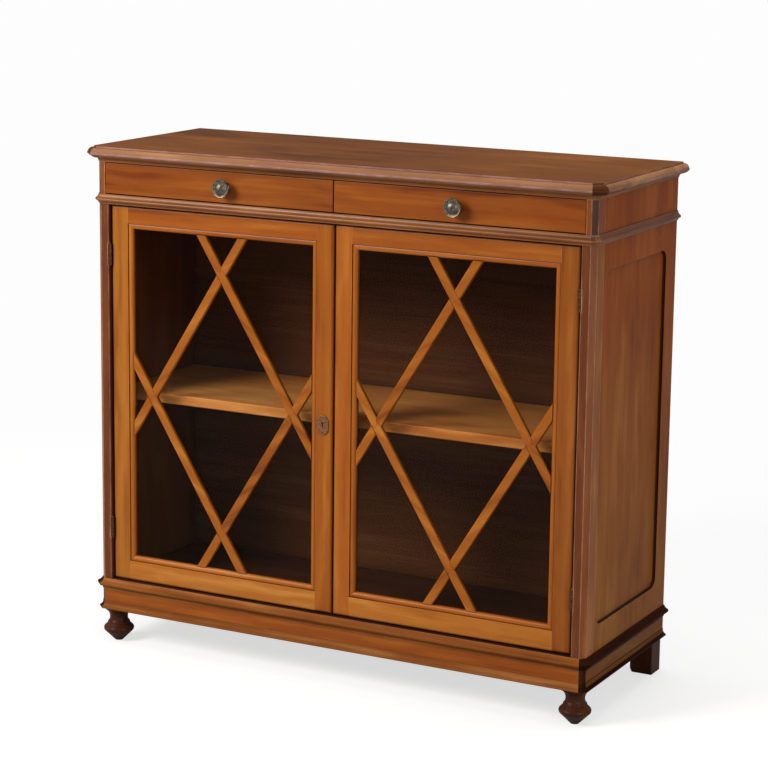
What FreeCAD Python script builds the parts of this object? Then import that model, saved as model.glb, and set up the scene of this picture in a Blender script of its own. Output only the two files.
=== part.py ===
import FreeCAD, Part
import math
import os
import re
import Sketcher

# Low glazed bookcase with two frieze drawers over two lattice doors.
# Millimetres, +Z up. The origin is on the floor, under the middle of the whole box.
# The front faces -Y. Left and right are as seen from the front.

SIZES = {
    # Carcass
    "carcass_width": 1056,
    "carcass_depth": 394,
    "cant": 10,
    "post_width": 27,
    "post_depth": 40,
    "post_round": 2,
    "frieze_post_width": 20,
    "side_thick": 22,
    "back_thick": 6,
    "back_rebate": 10,
    "rail_thick": 20,
    "back_rail_height": 52,
    "fit_gap": 0.2,
    "overrun": 5,
    # Heights, from the floor up
    "foot_height": 70,
    "plinth_height": 40,
    "bottom_thick": 23,
    "door_zone": 759,
    "dust_thick": 19,
    "drawer_zone": 63,
    "cornice_height": 8,
    "top_thick": 22,
    # Top board and its moulded edge
    "top_overhang": 22,
    "top_step_in": 13,
    "top_step_down": 2.5,
    "top_ovolo_radius": 11.5,
    "top_nose_in": 0.8,
    "top_nose_down": 12,
    "top_nose_low": 15,
    "top_nose_flat": 0.5,
    "top_under_radius": 16,
    # Cornice under the top
    "cornice_foot_out": 1.5,
    "cornice_out": 9,
    "cornice_cove_radius": 8,
    # Moulding between the drawers and the doors
    "mid_out": 8,
    "mid_fillet_out": 1.8,
    "mid_nose": 6,
    "mid_nose_down": 8,
    "mid_nose_radius": 3.4,
    "mid_cove_radius": 9,
    "mid_under_radius": 6,
    "mid_lip": 2,
    # Moulding between the doors and the plinth
    "lower_out": 11,
    "lower_top_out": 3,
    "lower_nose": 8,
    "lower_nose_radius": 4.2,
    "lower_ogee_radius": 12,
    "lower_foot_out": 1.5,
    "lower_foot": 4,
    # Moulding round the foot of the plinth, with its bead at the bottom
    "base_height": 15,
    "base_out": 7,
    "base_nose": 4.5,
    "base_nose_radius": 2.4,
    "base_cove_radius": 9,
    "base_top_out": 1.2,
    # Plinth and feet
    "plinth_thick": 16,
    "block_size": 60,
    "foot_inset": 26,
    "foot_sole_radius": 8,
    "foot_rim_radius": 29,
    "foot_rim_low_share": 0.3,
    "foot_rim_high_share": 0.42,
    "foot_rim_arc": 7,
    "foot_shoulder_radius": 22,
    "foot_shoulder_share": 0.52,
    "foot_ring_radius": 21.5,
    "foot_ring_share": 0.57,
    "foot_ring_arc": 2.6,
    "foot_neck_radius": 18.5,
    "foot_neck_share": 0.645,
    "foot_neck_arc": 9,
    "foot_collar_radius": 27,
    "foot_collar_share": 0.93,
    "foot_flare_arc": 19,
    "dowel_radius": 7,
    "dowel_length": 30,
    "rear_foot_width": 45,
    "rear_foot_depth": 43,
    "rear_foot_inset": 4,
    "rear_foot_cut": 4,
    # Sunk field on the side boards
    "field_inset": 50,
    "field_corner": 20,
    "field_depth": 6,
    "field_cove": 4,
    # Shelf and its pins
    "shelf_thick": 20,
    "shelf_height": 497,
    "shelf_front_in": 50,
    "shelf_end_gap": 1,
    "shelf_back_gap": 2,
    "shelf_round": 3,
    "pin_radius": 2.5,
    "pin_collar_radius": 5,
    "pin_collar": 0.8,
    "pin_in": 9,
    "pin_out": 12,
    "pin_setback": 45,
    # Drawers
    "drawer_gap": 1,
    "drawer_lift": 1.5,
    "drawer_slip": 0.4,
    "drawer_front_thick": 20,
    "drawer_front_round": 1.5,
    "drawer_side_thick": 12,
    "drawer_side_height": 50,
    "drawer_back_gap": 18,
    "drawer_housing": 6,
    "drawer_bottom_thick": 5,
    "drawer_bottom_up": 7,
    "drawer_bottom_in": 4,
    "divider_thick": 18,
    "left_knob_in": 20,
    # Drawer knobs
    "knob_reach": 26,
    "knob_radius": 17,
    "knob_rim": 2.2,
    "knob_rim_back": 12,
    "knob_dome_radius": 12.5,
    "knob_dish_arc": 16,
    "knob_dish": 1.8,
    "knob_neck_radius": 6.5,
    "knob_neck_back": 5,
    "knob_neck_arc": 9,
    "knob_rose_radius": 10.5,
    "knob_rose": 2.5,
    "knob_stud_radius": 3,
    "knob_stud": 17,
    # Doors
    "hinge_gap": 3,
    "meet_gap": 3,
    "stop_thick": 10,
    "door_top_gap": 2,
    "door_bottom_gap": 2,
    "door_recess": 6,
    "door_thick": 22,
    "door_round": 5.5,
    "hinge_stile": 38,
    "meet_stile": 36,
    "top_rail": 34,
    "bottom_rail": 40,
    "tenon": 24,
    "tenon_thick": 7,
    "tenon_shoulder": 6,
    "bead_width": 11,
    "bead_depth": 10,
    "bead_quirk": 2.6,
    "bead_drop": 5.5,
    "bead_arc": 7,
    "glass_thick": 4,
    "glass_gap": 1,
    "back_bead_width": 8,
    "back_bead_round": 5,
    # Lattice
    "bar_width": 17.5,
    "bar_thick": 8,
    "bar_round": 2.6,
    "cross_from_top": 74,
    "cross_from_side": 42,
    # Hinges
    "hinge_length": 40,
    "hinge_from_top": 98,
    "hinge_from_bottom": 106,
    "pin_behind": 3,
    "knuckle_radius": 4,
    "knuckle_room": 0.4,
    "knuckle_gap": 0.15,
    "leaf_thick": 1.2,
    "leaf_depth": 23,
    "hinge_pin_radius": 1.45,
    "pin_play": 0.05,
    "finial_radius": 2.6,
    "finial_height": 3,
    # Lock on the left door
    "lock_height": 40,
    "lock_thick": 10,
    "lock_depth": 26,
    "lock_bolt_height": 14,
    "lock_bolt_thick": 5,
    "lock_bolt_length": 16,
    "lock_bolt_back": 0.5,
    "lock_throw": 9,
    "keyhole_radius": 2.2,
    "keyhole_width": 2.6,
    "keyhole_drop": 8,
    "key_in": 20.5,
    "key_plate_width": 26,
    "key_plate_height": 38,
    "key_plate_thick": 2,
    # Bolt inside the right door
    "bolt_plate_width": 20,
    "bolt_plate_height": 60,
    "bolt_plate_thick": 2,
    "bolt_guide_height": 12,
    "bolt_guide_wall": 2,
    "bolt_width": 8,
    "bolt_thick": 4,
    "bolt_length": 72,
    "bolt_top_gap": 2,
    "bolt_throw": 10,
    "bolt_grip": 6,
    "bolt_from_edge": 18,
}

QUARTER_TURN = 90
AXIS_Y = FreeCAD.Vector(0, 1, 0)
AXIS_X = FreeCAD.Vector(1, 0, 0)
AXIS_Z = FreeCAD.Vector(0, 0, 1)
SIDES = {"left": -1, "right": 1}

doc = FreeCAD.newDocument("low_bookcase")
sheet = doc.addObject("Spreadsheet::Sheet", "Sizes")
for row, (name, size) in enumerate(SIZES.items(), start=1):
    sheet.set("A%d" % row, name)
    sheet.set("B%d" % row, str(size))
    sheet.setAlias("B%d" % row, name)
doc.recompute()

nodes = []


def link(text):
    """The sheet expression of a sum that is written with the names of sizes."""
    def full(word):
        return "Sizes." + word.group() if word.group() in SIZES else word.group()

    return re.sub(r"[a-z][a-z_]*", full, text)


def value(text):
    """What a sum of sizes comes to."""
    return float(sheet.evalExpression(link(text)))


def bind(item, prop, text):
    """Ties a property to a sum of sizes."""
    item.setExpression(prop, link(text))


def place(item, x, y, z, rotation=None):
    """Puts a sub-part at a point given in sizes."""
    if rotation is not None:
        item.Placement = FreeCAD.Placement(FreeCAD.Vector(0, 0, 0), rotation)
    for axis, text in zip("xyz", (x, y, z)):
        bind(item, "Placement.Base." + axis, text)


def keep(item, label):
    """Names a finished sub-part and puts it on the list of nodes."""
    item.Label = label
    nodes.append(item)
    return item


def new_body(label):
    return doc.addObject("PartDesign::Body", "Body_" + label)


def origin_plane(body, role):
    return [item for item in body.Origin.OriginFeatures if item.Role == role][0]


def new_sketch(body, role, offset="0"):
    """A sketch on one of the body's own planes, moved along the plane's normal."""
    sketch = body.newObject("Sketcher::SketchObject", "Sketch")
    sketch.AttachmentSupport = [(origin_plane(body, role), "")]
    sketch.MapMode = "FlatFace"
    if offset != "0":
        bind(sketch, "AttachmentOffset.Base.z", offset)
    return sketch


def arc_geometry(start, end, radius, turn):
    """The shorter arc between two points. turn is 1 for a counter-clockwise way, -1 for clockwise."""
    middle = (start + end) * 0.5
    chord = end - start
    away = math.sqrt(max(radius ** 2 - (chord.Length / 2) ** 2, 0))
    normal = FreeCAD.Vector(-chord.y, chord.x, 0).normalize()
    centre = middle + normal * away * turn
    first, last = (start, end) if turn > 0 else (end, start)
    begin = math.atan2(first.y - centre.y, first.x - centre.x)
    finish = math.atan2(last.y - centre.y, last.x - centre.x)
    if finish <= begin:
        finish += 2 * math.pi
    return Part.ArcOfCircle(Part.Circle(centre, AXIS_Z, radius), begin, finish)


def draw(sketch, points, closed=True):
    """Draws an outline. A point is (x, y), or (x, y, radius, turn) where an arc leads to it."""
    spots = [FreeCAD.Vector(value(point[0]), value(point[1]), 0) for point in points]
    count = len(points)
    pieces = []
    for index in range(count if closed else count - 1):
        following = (index + 1) % count
        goal = points[following]
        if len(goal) == 4:
            turn = goal[3]
            arc = arc_geometry(spots[index], spots[following], value(goal[2]), turn)
            piece = sketch.addGeometry(arc, False)
            radius = sketch.addConstraint(Sketcher.Constraint("Radius", piece, value(goal[2])))
            bind(sketch, "Constraints[%d]" % radius, goal[2])
            pieces.append((piece, 1, 2) if turn > 0 else (piece, 2, 1))
        else:
            piece = sketch.addGeometry(Part.LineSegment(spots[index], spots[following]), False)
            pieces.append((piece, 1, 2))
    ends = [(pieces[index][0], pieces[index][1]) for index in range(len(pieces))]
    if not closed:
        ends.append((pieces[-1][0], pieces[-1][2]))
    for index in range(len(pieces) if closed else len(pieces) - 1):
        before = pieces[index]
        after = pieces[(index + 1) % len(pieces)]
        sketch.addConstraint(Sketcher.Constraint("Coincident", before[0], before[2], after[0], after[1]))
    for (piece, end), point, spot in zip(ends, points, spots):
        across = sketch.addConstraint(Sketcher.Constraint("DistanceX", -1, 1, piece, end, spot.x))
        bind(sketch, "Constraints[%d]" % across, point[0])
        along = sketch.addConstraint(Sketcher.Constraint("DistanceY", -1, 1, piece, end, spot.y))
        bind(sketch, "Constraints[%d]" % along, point[1])


def pad(body, role, outlines, length, offset="0", backwards=False):
    """A pad of one or more closed outlines."""
    sketch = new_sketch(body, role, offset)
    for points in outlines:
        draw(sketch, points)
    feature = body.newObject("PartDesign::Pad", "Pad")
    feature.Profile = sketch
    feature.Reversed = backwards
    bind(feature, "Length", length)
    return feature


def pocket(body, role, outlines, length, offset="0", backwards=False):
    """A pocket of one or more closed outlines, which has to take material away."""
    doc.recompute()
    before = body.Shape.Volume
    sketch = new_sketch(body, role, offset)
    for points in outlines:
        draw(sketch, points)
    feature = body.newObject("PartDesign::Pocket", "Pocket")
    feature.Profile = sketch
    feature.Reversed = backwards
    bind(feature, "Length", length)
    doc.recompute()
    if not body.Shape.Volume < before:
        raise ValueError("a pocket in %s cuts nothing" % body.Name)
    return feature


def revolve(body, profile):
    """Turns a profile, given as (outwards, along), round the body's own upright axis."""
    sketch = new_sketch(body, "XZ_Plane")
    draw(sketch, profile)
    feature = body.newObject("PartDesign::Revolution", "Turned")
    feature.Profile = sketch
    feature.ReferenceAxis = (sketch, ["V_Axis"])


def primitive(body, kind, corner, sizes, role="XY_Plane"):
    """A box or cylinder that is added to or taken from a body, on one of the body's own planes."""
    feature = body.newObject("PartDesign::" + kind, kind)
    feature.AttachmentSupport = [(origin_plane(body, role), "")]
    feature.MapMode = "FlatFace"
    for axis, text in zip("xyz", corner):
        bind(feature, "AttachmentOffset.Base." + axis, text)
    for prop, text in sizes.items():
        bind(feature, prop, text)
    return feature


def box(body, kind, corner, length, width, height):
    return primitive(body, kind + "Box", corner, {"Length": length, "Width": width, "Height": height})


def cylinder(body, kind, corner, radius, height, role="XY_Plane"):
    return primitive(body, kind + "Cylinder", corner, {"Radius": radius, "Height": height}, role)


def rectangle(width, height, x="0", y="0"):
    """The four corners of a rectangle from its low corner."""
    right = "%s + %s" % (x, width)
    top = "%s + %s" % (y, height)
    return [(x, y), (right, y), (right, top), (x, top)]


def board(label, corner, width, depth, height):
    """A plain board that stands from its low corner."""
    body = new_body(label)
    pad(body, "XY_Plane", [rectangle(width, depth)], height)
    place(body, *corner)
    return keep(body, label)


def edges_where(shape, test, least):
    """The names of the edges that are longer than least and whose ends and middle all pass a test."""
    names = []
    for index, edge in enumerate(shape.Edges, start=1):
        middle = edge.valueAt((edge.FirstParameter + edge.LastParameter) / 2)
        spots = [vertex.Point for vertex in edge.Vertexes] + [middle]
        if edge.Length > value(least) and all(test(spot) for spot in spots):
            names.append("Edge%d" % index)
    return names


def round_edges(body, radius, test, least="0"):
    """Rounds the edges of a body that are longer than least and pass a test in the body's own frame."""
    doc.recompute()
    base = body.Tip
    names = edges_where(base.Shape, test, least)
    if not names:
        raise ValueError("no edge to round in %s" % body.Name)
    feature = body.newObject("PartDesign::Fillet", "Fillet")
    feature.Base = (base, names)
    bind(feature, "Radius", radius)
    return feature


def near(number, text):
    """True where a number is what a sum of sizes comes to."""
    return abs(number - value(text)) < NEAR


NEAR = 1e-4

# Planes and levels of the whole piece
HALF = "carcass_width / 2"
FRONT = "(max(knob_reach; top_overhang) - carcass_depth) / 2"
BACK = "(max(knob_reach; top_overhang) + carcass_depth) / 2"
Z_PLINTH = "foot_height"
Z_BOTTOM = Z_PLINTH + " + plinth_height"
Z_DOORS = Z_BOTTOM + " + bottom_thick"
Z_DUST = Z_DOORS + " + door_zone"
Z_DRAWERS = Z_DUST + " + dust_thick"
Z_CORNICE = Z_DRAWERS + " + drawer_zone"
Z_TOP = Z_CORNICE + " + cornice_height"
CARCASS_HEIGHT = "bottom_thick + door_zone + dust_thick + drawer_zone"


def signed(side, text):
    """A distance from the middle plane, to the left for side -1 and to the right for 1."""
    return "%d * (%s)" % (side, text)


def low_x(side, inner, outer):
    """The lower X of a span that lies between two distances from the middle plane."""
    return inner if side > 0 else "-(%s)" % outer


def mirror(side, points):
    """An outline drawn for the right side, turned over for the left."""
    if side > 0:
        return points
    flipped = []
    for point in points:
        item = ("-(%s)" % point[0], point[1])
        if len(point) == 4:
            item += (point[2], -point[3])
        flipped.append(item)
    return flipped


def make_group(label, bodies):
    """One node that holds several separate solids."""
    group = doc.addObject("Part::Compound", "Group_" + label)
    group.Links = bodies
    return keep(group, label)


# Mouldings that run round the canted front, mitred at every turn
def canted_path(body, out):
    """The line from the back of the left side, round the front, to the back of the right side."""
    half = "%s + %s" % (HALF, out)
    front = "-(carcass_depth + %s)" % out
    corner = "(cant + (%s) * (2 - sqrt(2)))" % out
    path = new_sketch(body, "XY_Plane")
    points = [
        ("-(%s)" % half, "0"),
        ("-(%s)" % half, "%s + %s" % (front, corner)),
        ("-(%s) + %s" % (half, corner), front),
        ("%s - %s" % (half, corner), front),
        (half, "%s + %s" % (front, corner)),
        (half, "0"),
    ]
    draw(path, points, closed=False)
    return path


def sweep_round(body, kind, profile, out="0"):
    """Sweeps a profile, given as (outwards, up), round the front and both sides."""
    path = canted_path(body, out)
    section = new_sketch(body, "XZ_Plane")
    points = []
    for point in profile:
        item = ("-(%s + %s)" % (HALF, point[0]), point[1])
        if len(point) == 4:
            item += (point[2], -point[3])
        points.append(item)
    draw(section, points)
    doc.recompute()
    sweep = body.newObject("PartDesign::" + kind, kind)
    sweep.Profile = section
    sweep.Spine = (path, ["Edge%d" % index for index in range(1, len(path.Geometry) + 1)])
    sweep.Transition = "Right corner"
    return sweep


def moulding(label, level, profile):
    body = new_body(label)
    sweep_round(body, "AdditivePipe", profile)
    place(body, "0", BACK, level)
    return keep(body, label)


def make_top():
    """The top board, with a stepped ovolo worked on its front and sides."""
    body = new_body("top_board")
    half = HALF + " + top_overhang"
    deep = "carcass_depth + top_overhang"
    corner = "(cant + top_overhang * (2 - sqrt(2)))"
    outline = [
        ("-(%s)" % half, "0"),
        ("-(%s)" % half, "-(%s) + %s" % (deep, corner)),
        ("-(%s) + %s" % (half, corner), "-(%s)" % deep),
        ("%s - %s" % (half, corner), "-(%s)" % deep),
        (half, "-(%s) + %s" % (deep, corner)),
        (half, "0"),
    ]
    pad(body, "XY_Plane", [outline], "top_thick")
    above = "top_thick + overrun"
    outside = "top_overhang + overrun"
    upper = [
        ("top_overhang - top_step_in", above),
        ("top_overhang - top_step_in", "top_thick - top_step_down"),
        ("top_overhang - top_nose_in", "top_thick - top_nose_down", "top_ovolo_radius", -1),
        ("top_overhang - top_nose_in", "top_thick - top_nose_down - top_nose_flat"),
        (outside, "top_thick - top_nose_down - top_nose_flat"),
        (outside, above),
    ]
    sweep_round(body, "SubtractivePipe", upper)
    lower = [
        ("cornice_out", "-overrun"),
        ("cornice_out", "0"),
        ("top_overhang - top_nose_in", "top_thick - top_nose_low", "top_under_radius", 1),
        (outside, "top_thick - top_nose_low"),
        (outside, "-overrun"),
    ]
    sweep_round(body, "SubtractivePipe", lower)
    place(body, "0", BACK, Z_TOP)
    keep(body, "top_board")


def make_cornice():
    profile = [
        ("-(side_thick - back_rebate)", "0"),
        ("cornice_foot_out", "0"),
        ("cornice_out", "cornice_height", "cornice_cove_radius", -1),
        ("-(side_thick - back_rebate)", "cornice_height"),
    ]
    moulding("cornice", Z_CORNICE, profile)


def make_mid_moulding():
    profile = [
        ("0", "0"),
        ("mid_fillet_out", "0"),
        ("mid_out - mid_lip", "dust_thick - mid_nose_down - mid_nose", "mid_under_radius", -1),
        ("mid_out - mid_lip", "dust_thick - mid_nose_down", "mid_nose_radius", 1),
        ("mid_fillet_out", "dust_thick", "mid_cove_radius", -1),
        ("0", "dust_thick"),
    ]
    moulding("mid_moulding", Z_DUST, profile)


def make_lower_moulding():
    profile = [
        ("0", "0"),
        ("lower_foot_out", "0"),
        ("lower_foot_out", "lower_foot"),
        ("lower_out - lower_top_out", "lower_foot + lower_nose / 2", "lower_nose", -1),
        ("lower_out - lower_top_out", "lower_foot + lower_nose * 3 / 2", "lower_nose_radius", 1),
        ("lower_top_out - lower_foot_out", "bottom_thick", "lower_ogee_radius", -1),
        ("0", "bottom_thick"),
    ]
    moulding("lower_moulding", Z_BOTTOM, profile)


def make_base_moulding():
    profile = [
        ("0", "0"),
        ("base_out - base_top_out", "0"),
        ("base_out - base_top_out", "base_nose", "base_nose_radius", 1),
        ("base_top_out", "base_height", "base_cove_radius", -1),
        ("0", "base_height"),
    ]
    moulding("base_moulding", Z_PLINTH, profile)


# Carcass
def hinge_levels():
    """The low ends of the two hinges, above the floor."""
    low = Z_DOORS + " + door_bottom_gap + hinge_from_bottom - hinge_length / 2"
    high = Z_DUST + " - door_top_gap - hinge_from_top - hinge_length / 2"
    return [low, high]


PIN_X = HALF + " - post_width - hinge_gap / 2"
DOOR_Y = FRONT + " + door_recess"
PIN_Y = DOOR_Y + " - pin_behind"


def make_post(name, side):
    """A canted corner post. It is narrower beside the drawers, and hollowed for the hinge knuckles."""
    body = new_body("post_" + name)
    outline = [
        ("-post_width + post_round", "0"),
        ("-cant", "0"),
        ("0", "cant"),
        ("0", "post_depth"),
        ("-post_width", "post_depth"),
        ("-post_width", "post_round"),
    ]
    outline[0] = outline[0] + ("post_round", 1)
    pad(body, "XY_Plane", [mirror(side, outline)], CARCASS_HEIGHT)
    notch = "post_width - frieze_post_width + overrun"
    notch_x = low_x(side, "-post_width - overrun", "-frieze_post_width")
    notch_z = "bottom_thick + door_zone + dust_thick"
    box(body, "Subtractive", (notch_x, "-overrun", notch_z), notch, "post_depth + 2 * overrun",
        "drawer_zone + overrun")
    for level in hinge_levels():
        spot = (signed(side, "-post_width - hinge_gap / 2"), "door_recess - pin_behind",
                "%s - (%s) - knuckle_room" % (level, Z_BOTTOM))
        cylinder(body, "Subtractive", spot, "knuckle_radius + knuckle_room",
                 "hinge_length + 2 * knuckle_room")
        for end in ("hinge_length", "-finial_height - knuckle_room"):
            tip = (spot[0], spot[1], "%s - (%s) + %s" % (level, Z_BOTTOM, end))
            cylinder(body, "Subtractive", tip, "finial_radius + knuckle_room", "finial_height + knuckle_room")
    place(body, signed(side, HALF), FRONT, Z_BOTTOM)
    keep(body, "post_" + name)


def rounded_rectangle(x, y, width, height, radius):
    """A rectangle with round corners, as an outline."""
    right = "%s + %s" % (x, width)
    top = "%s + %s" % (y, height)
    return [
        ("%s + %s" % (x, radius), y, radius, 1),
        ("%s - %s" % (right, radius), y),
        (right, "%s + %s" % (y, radius), radius, 1),
        (right, "%s - %s" % (top, radius)),
        ("%s - %s" % (right, radius), top, radius, 1),
        ("%s + %s" % (x, radius), top),
        (x, "%s - %s" % (top, radius), radius, 1),
        (x, "%s + %s" % (y, radius)),
    ]


def make_side(name, side):
    """A side board with a rebate for the back, a sunk field on its face and holes for the shelf pins."""
    body = new_body("side_" + name)
    depth = "(carcass_depth - post_depth)"
    outline = [
        ("-side_thick", "0"),
        ("0", "0"),
        ("0", depth),
        ("-side_thick + back_rebate", depth),
        ("-side_thick + back_rebate", depth + " - back_thick"),
        ("-side_thick", depth + " - back_thick"),
    ]
    pad(body, "XY_Plane", [mirror(side, outline)], CARCASS_HEIGHT)
    field = rounded_rectangle("field_inset - post_depth", "bottom_thick + field_inset",
                              "(carcass_depth - 2 * field_inset)", "(door_zone - 2 * field_inset)",
                              "field_corner")
    pocket(body, "YZ_Plane", [field], "field_depth", backwards=side < 0)
    round_edges(body, "field_cove", lambda spot: near(spot.x, signed(side, "-field_depth")))
    start = "-side_thick - overrun" if side > 0 else "side_thick - pin_in"
    for spot in pin_places():
        corner = ("%s - post_depth" % spot, "shelf_height - pin_radius - (%s)" % Z_BOTTOM, start)
        cylinder(body, "Subtractive", corner, "pin_radius + fit_gap", "pin_in + overrun", "YZ_Plane")
    place(body, signed(side, HALF), FRONT + " + post_depth", Z_BOTTOM)
    keep(body, "side_" + name)


def pin_places():
    """How far behind the front plane the two shelf pins of one side are."""
    return ["shelf_front_in + pin_setback", "carcass_depth - back_thick - shelf_back_gap - pin_setback"]


def make_shelf_pins():
    pins = []
    for side in SIDES.values():
        for spot in pin_places():
            body = new_body("shelf_pin")
            profile = [
                ("0", "0"),
                ("pin_radius", "0"),
                ("pin_radius", "pin_in - pin_collar"),
                ("pin_collar_radius", "pin_in - pin_collar"),
                ("pin_collar_radius", "pin_in"),
                ("pin_radius", "pin_in"),
                ("pin_radius", "pin_in + pin_out - pin_collar"),
                ("0", "pin_in + pin_out - pin_collar"),
            ]
            revolve(body, profile)
            x = signed(side, HALF + " - side_thick + pin_in - pin_collar")
            place(body, x, "%s + %s" % (FRONT, spot), "shelf_height - pin_radius",
                  FreeCAD.Rotation(AXIS_Y, -side * QUARTER_TURN))
            pins.append(body)
    make_group("shelf_pins", pins)


def notched_outline(depth):
    """The outline of a board that lies between the side boards and is cut out round the posts."""
    half = HALF + " - side_thick"
    inner = HALF + " - post_width"
    return [
        ("-(%s)" % inner, "0"),
        (inner, "0"),
        (inner, "post_depth"),
        (half, "post_depth"),
        (half, depth),
        ("-(%s)" % half, depth),
        ("-(%s)" % half, "post_depth"),
        ("-(%s)" % inner, "post_depth"),
    ]


BOLT_X = "meet_gap / 2 + bolt_from_edge"
BOLT_Y = "door_recess + door_thick + bolt_plate_thick + fit_gap"


def make_stops():
    """Strips behind the doors, which the doors close against. The upper one leaves room for the bolt."""
    reach = "(%s - post_width)" % HALF
    room = "(%s + bolt_plate_width)" % BOLT_X
    y = DOOR_Y + " + door_thick"
    spans = [("-" + reach, "2 * " + reach, Z_DOORS), ("-" + reach, reach, Z_DUST + " - stop_thick"),
             (room, "%s - %s" % (reach, room), Z_DUST + " - stop_thick")]
    strips = []
    for x, length, z in spans:
        body = new_body("door_stop")
        pad(body, "XY_Plane", [rectangle(length, "stop_thick")], "stop_thick")
        place(body, x, y, z)
        strips.append(body)
    make_group("door_stops", strips)


def make_boards():
    """The flat boards of the carcass."""
    inside = "carcass_depth - back_thick"
    bottom = new_body("bottom_board")
    pad(bottom, "XY_Plane", [notched_outline(inside)], "bottom_thick")
    place(bottom, "0", FRONT, Z_BOTTOM)
    keep(bottom, "bottom_board")
    dust = new_body("dust_board")
    pad(dust, "XY_Plane", [notched_outline(inside)], "dust_thick")
    corner = (BOLT_X + " - bolt_width / 2 - 2 * fit_gap", BOLT_Y + " - 2 * fit_gap", "-overrun")
    box(dust, "Subtractive", corner, "bolt_width + 4 * fit_gap", "bolt_thick + 4 * fit_gap",
        "bolt_throw + overrun")
    place(dust, "0", FRONT, Z_DUST)
    keep(dust, "dust_board")
    half = HALF + " - side_thick"
    board("back_panel", ("-(%s + back_rebate)" % half, BACK + " - back_thick", Z_BOTTOM),
          "2 * (%s + back_rebate)" % half, "back_thick", CARCASS_HEIGHT + " + cornice_height")
    board("back_rail", ("-(%s)" % half, BACK + " - back_thick - rail_thick", Z_TOP + " - back_rail_height"),
          "2 * (%s)" % half, "rail_thick", "back_rail_height")
    board("drawer_divider", ("-divider_thick / 2", FRONT + " + drawer_front_thick", Z_DRAWERS),
          "divider_thick", "carcass_depth - drawer_front_thick - back_thick - rail_thick",
          "drawer_zone + cornice_height")
    shelf = board("shelf", ("-(%s - shelf_end_gap)" % half, FRONT + " + shelf_front_in", "shelf_height"),
                  "2 * (%s - shelf_end_gap)" % half,
                  "carcass_depth - back_thick - shelf_back_gap - shelf_front_in", "shelf_thick")
    round_edges(shelf, "shelf_round", lambda spot: near(spot.y, "0") and (
        near(spot.z, "0") or near(spot.z, "shelf_thick")))


# Plinth and feet
def make_plinth():
    front = new_body("plinth_front")
    outer = HALF + " - cant"
    middle = HALF + " - cant / 2"
    inner = HALF + " - plinth_thick"
    outline = [
        ("-(%s)" % outer, "0"),
        (outer, "0"),
        (middle, "cant / 2"),
        (inner, "plinth_thick"),
        ("-(%s)" % inner, "plinth_thick"),
        ("-(%s)" % middle, "cant / 2"),
    ]
    pad(front, "XY_Plane", [outline], "plinth_height")
    place(front, "0", FRONT, Z_PLINTH)
    keep(front, "plinth_front")
    sides = []
    for side in SIDES.values():
        body = new_body("plinth_side")
        outline = [
            ("-cant / 2", "cant / 2"),
            ("0", "cant"),
            ("0", "carcass_depth"),
            ("-plinth_thick", "carcass_depth"),
            ("-plinth_thick", "plinth_thick"),
        ]
        pad(body, "XY_Plane", [mirror(side, outline)], "plinth_height")
        place(body, signed(side, HALF), FRONT, Z_PLINTH)
        sides.append(body)
    make_group("plinth_sides", sides)
    board("plinth_back", ("-(%s)" % inner, BACK + " - plinth_thick", Z_PLINTH), "2 * (%s)" % inner,
          "plinth_thick", "plinth_height")
    blocks = []
    for side in SIDES.values():
        for at_front in (True, False):
            body = new_body("corner_block")
            pad(body, "XY_Plane", [rectangle("block_size", "block_size")], "plinth_height")
            x = low_x(side, inner + " - block_size", inner)
            y = FRONT + " + plinth_thick" if at_front else BACK + " - plinth_thick - block_size"
            place(body, x, y, Z_PLINTH)
            if at_front:
                spot = (signed(side, HALF + " - foot_inset") + " - (%s)" % x,
                        "foot_inset - plinth_thick", "-overrun")
                cylinder(body, "Subtractive", spot, "dowel_radius + fit_gap", "plinth_height + 2 * overrun")
            blocks.append(body)
    make_group("corner_blocks", blocks)


def make_front_foot(name, side):
    """A turned foot: cone, rim, shoulder, ring, neck and collar, with a dowel up into the corner block."""
    label = "front_foot_" + name
    body = new_body(label)
    profile = [
        ("0", "0"),
        ("foot_sole_radius", "0"),
        ("foot_rim_radius", "foot_height * foot_rim_low_share"),
        ("foot_rim_radius", "foot_height * foot_rim_high_share", "foot_rim_arc", 1),
        ("foot_shoulder_radius", "foot_height * foot_shoulder_share"),
        ("foot_ring_radius", "foot_height * foot_ring_share", "foot_ring_arc", 1),
        ("foot_neck_radius", "foot_height * foot_neck_share", "foot_neck_arc", -1),
        ("foot_collar_radius", "foot_height * foot_collar_share", "foot_flare_arc", -1),
        ("foot_collar_radius", "foot_height"),
        ("dowel_radius", "foot_height"),
        ("dowel_radius", "foot_height + dowel_length"),
        ("0", "foot_height + dowel_length"),
    ]
    revolve(body, profile)
    place(body, signed(side, HALF + " - foot_inset"), FRONT + " + foot_inset", "0")
    keep(body, label)


def make_rear_feet():
    """Square rear feet, with the low inner corner cut away."""
    feet = []
    for side in SIDES.values():
        body = new_body("rear_foot")
        outline = [
            ("-rear_foot_width + rear_foot_cut", "0"),
            ("0", "0"),
            ("0", "foot_height"),
            ("-rear_foot_width", "foot_height"),
            ("-rear_foot_width", "2 * rear_foot_cut"),
        ]
        pad(body, "XZ_Plane", [mirror(side, outline)], "rear_foot_depth")
        place(body, signed(side, HALF + " - rear_foot_inset"), BACK, "0")
        feet.append(body)
    make_group("rear_feet", feet)


# Drawers
DRAWER_INNER = "drawer_gap"
DRAWER_OUTER = HALF + " - frieze_post_width - drawer_gap"
BOX_INNER = "divider_thick / 2 + drawer_gap"
BOX_OUTER = HALF + " - side_thick - drawer_gap"
DRAWER_MIDDLE = "((%s) + (%s)) / 2" % (DRAWER_INNER, DRAWER_OUTER)
DRAWER_DEPTH = "(carcass_depth - back_thick - rail_thick - drawer_back_gap)"


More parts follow.
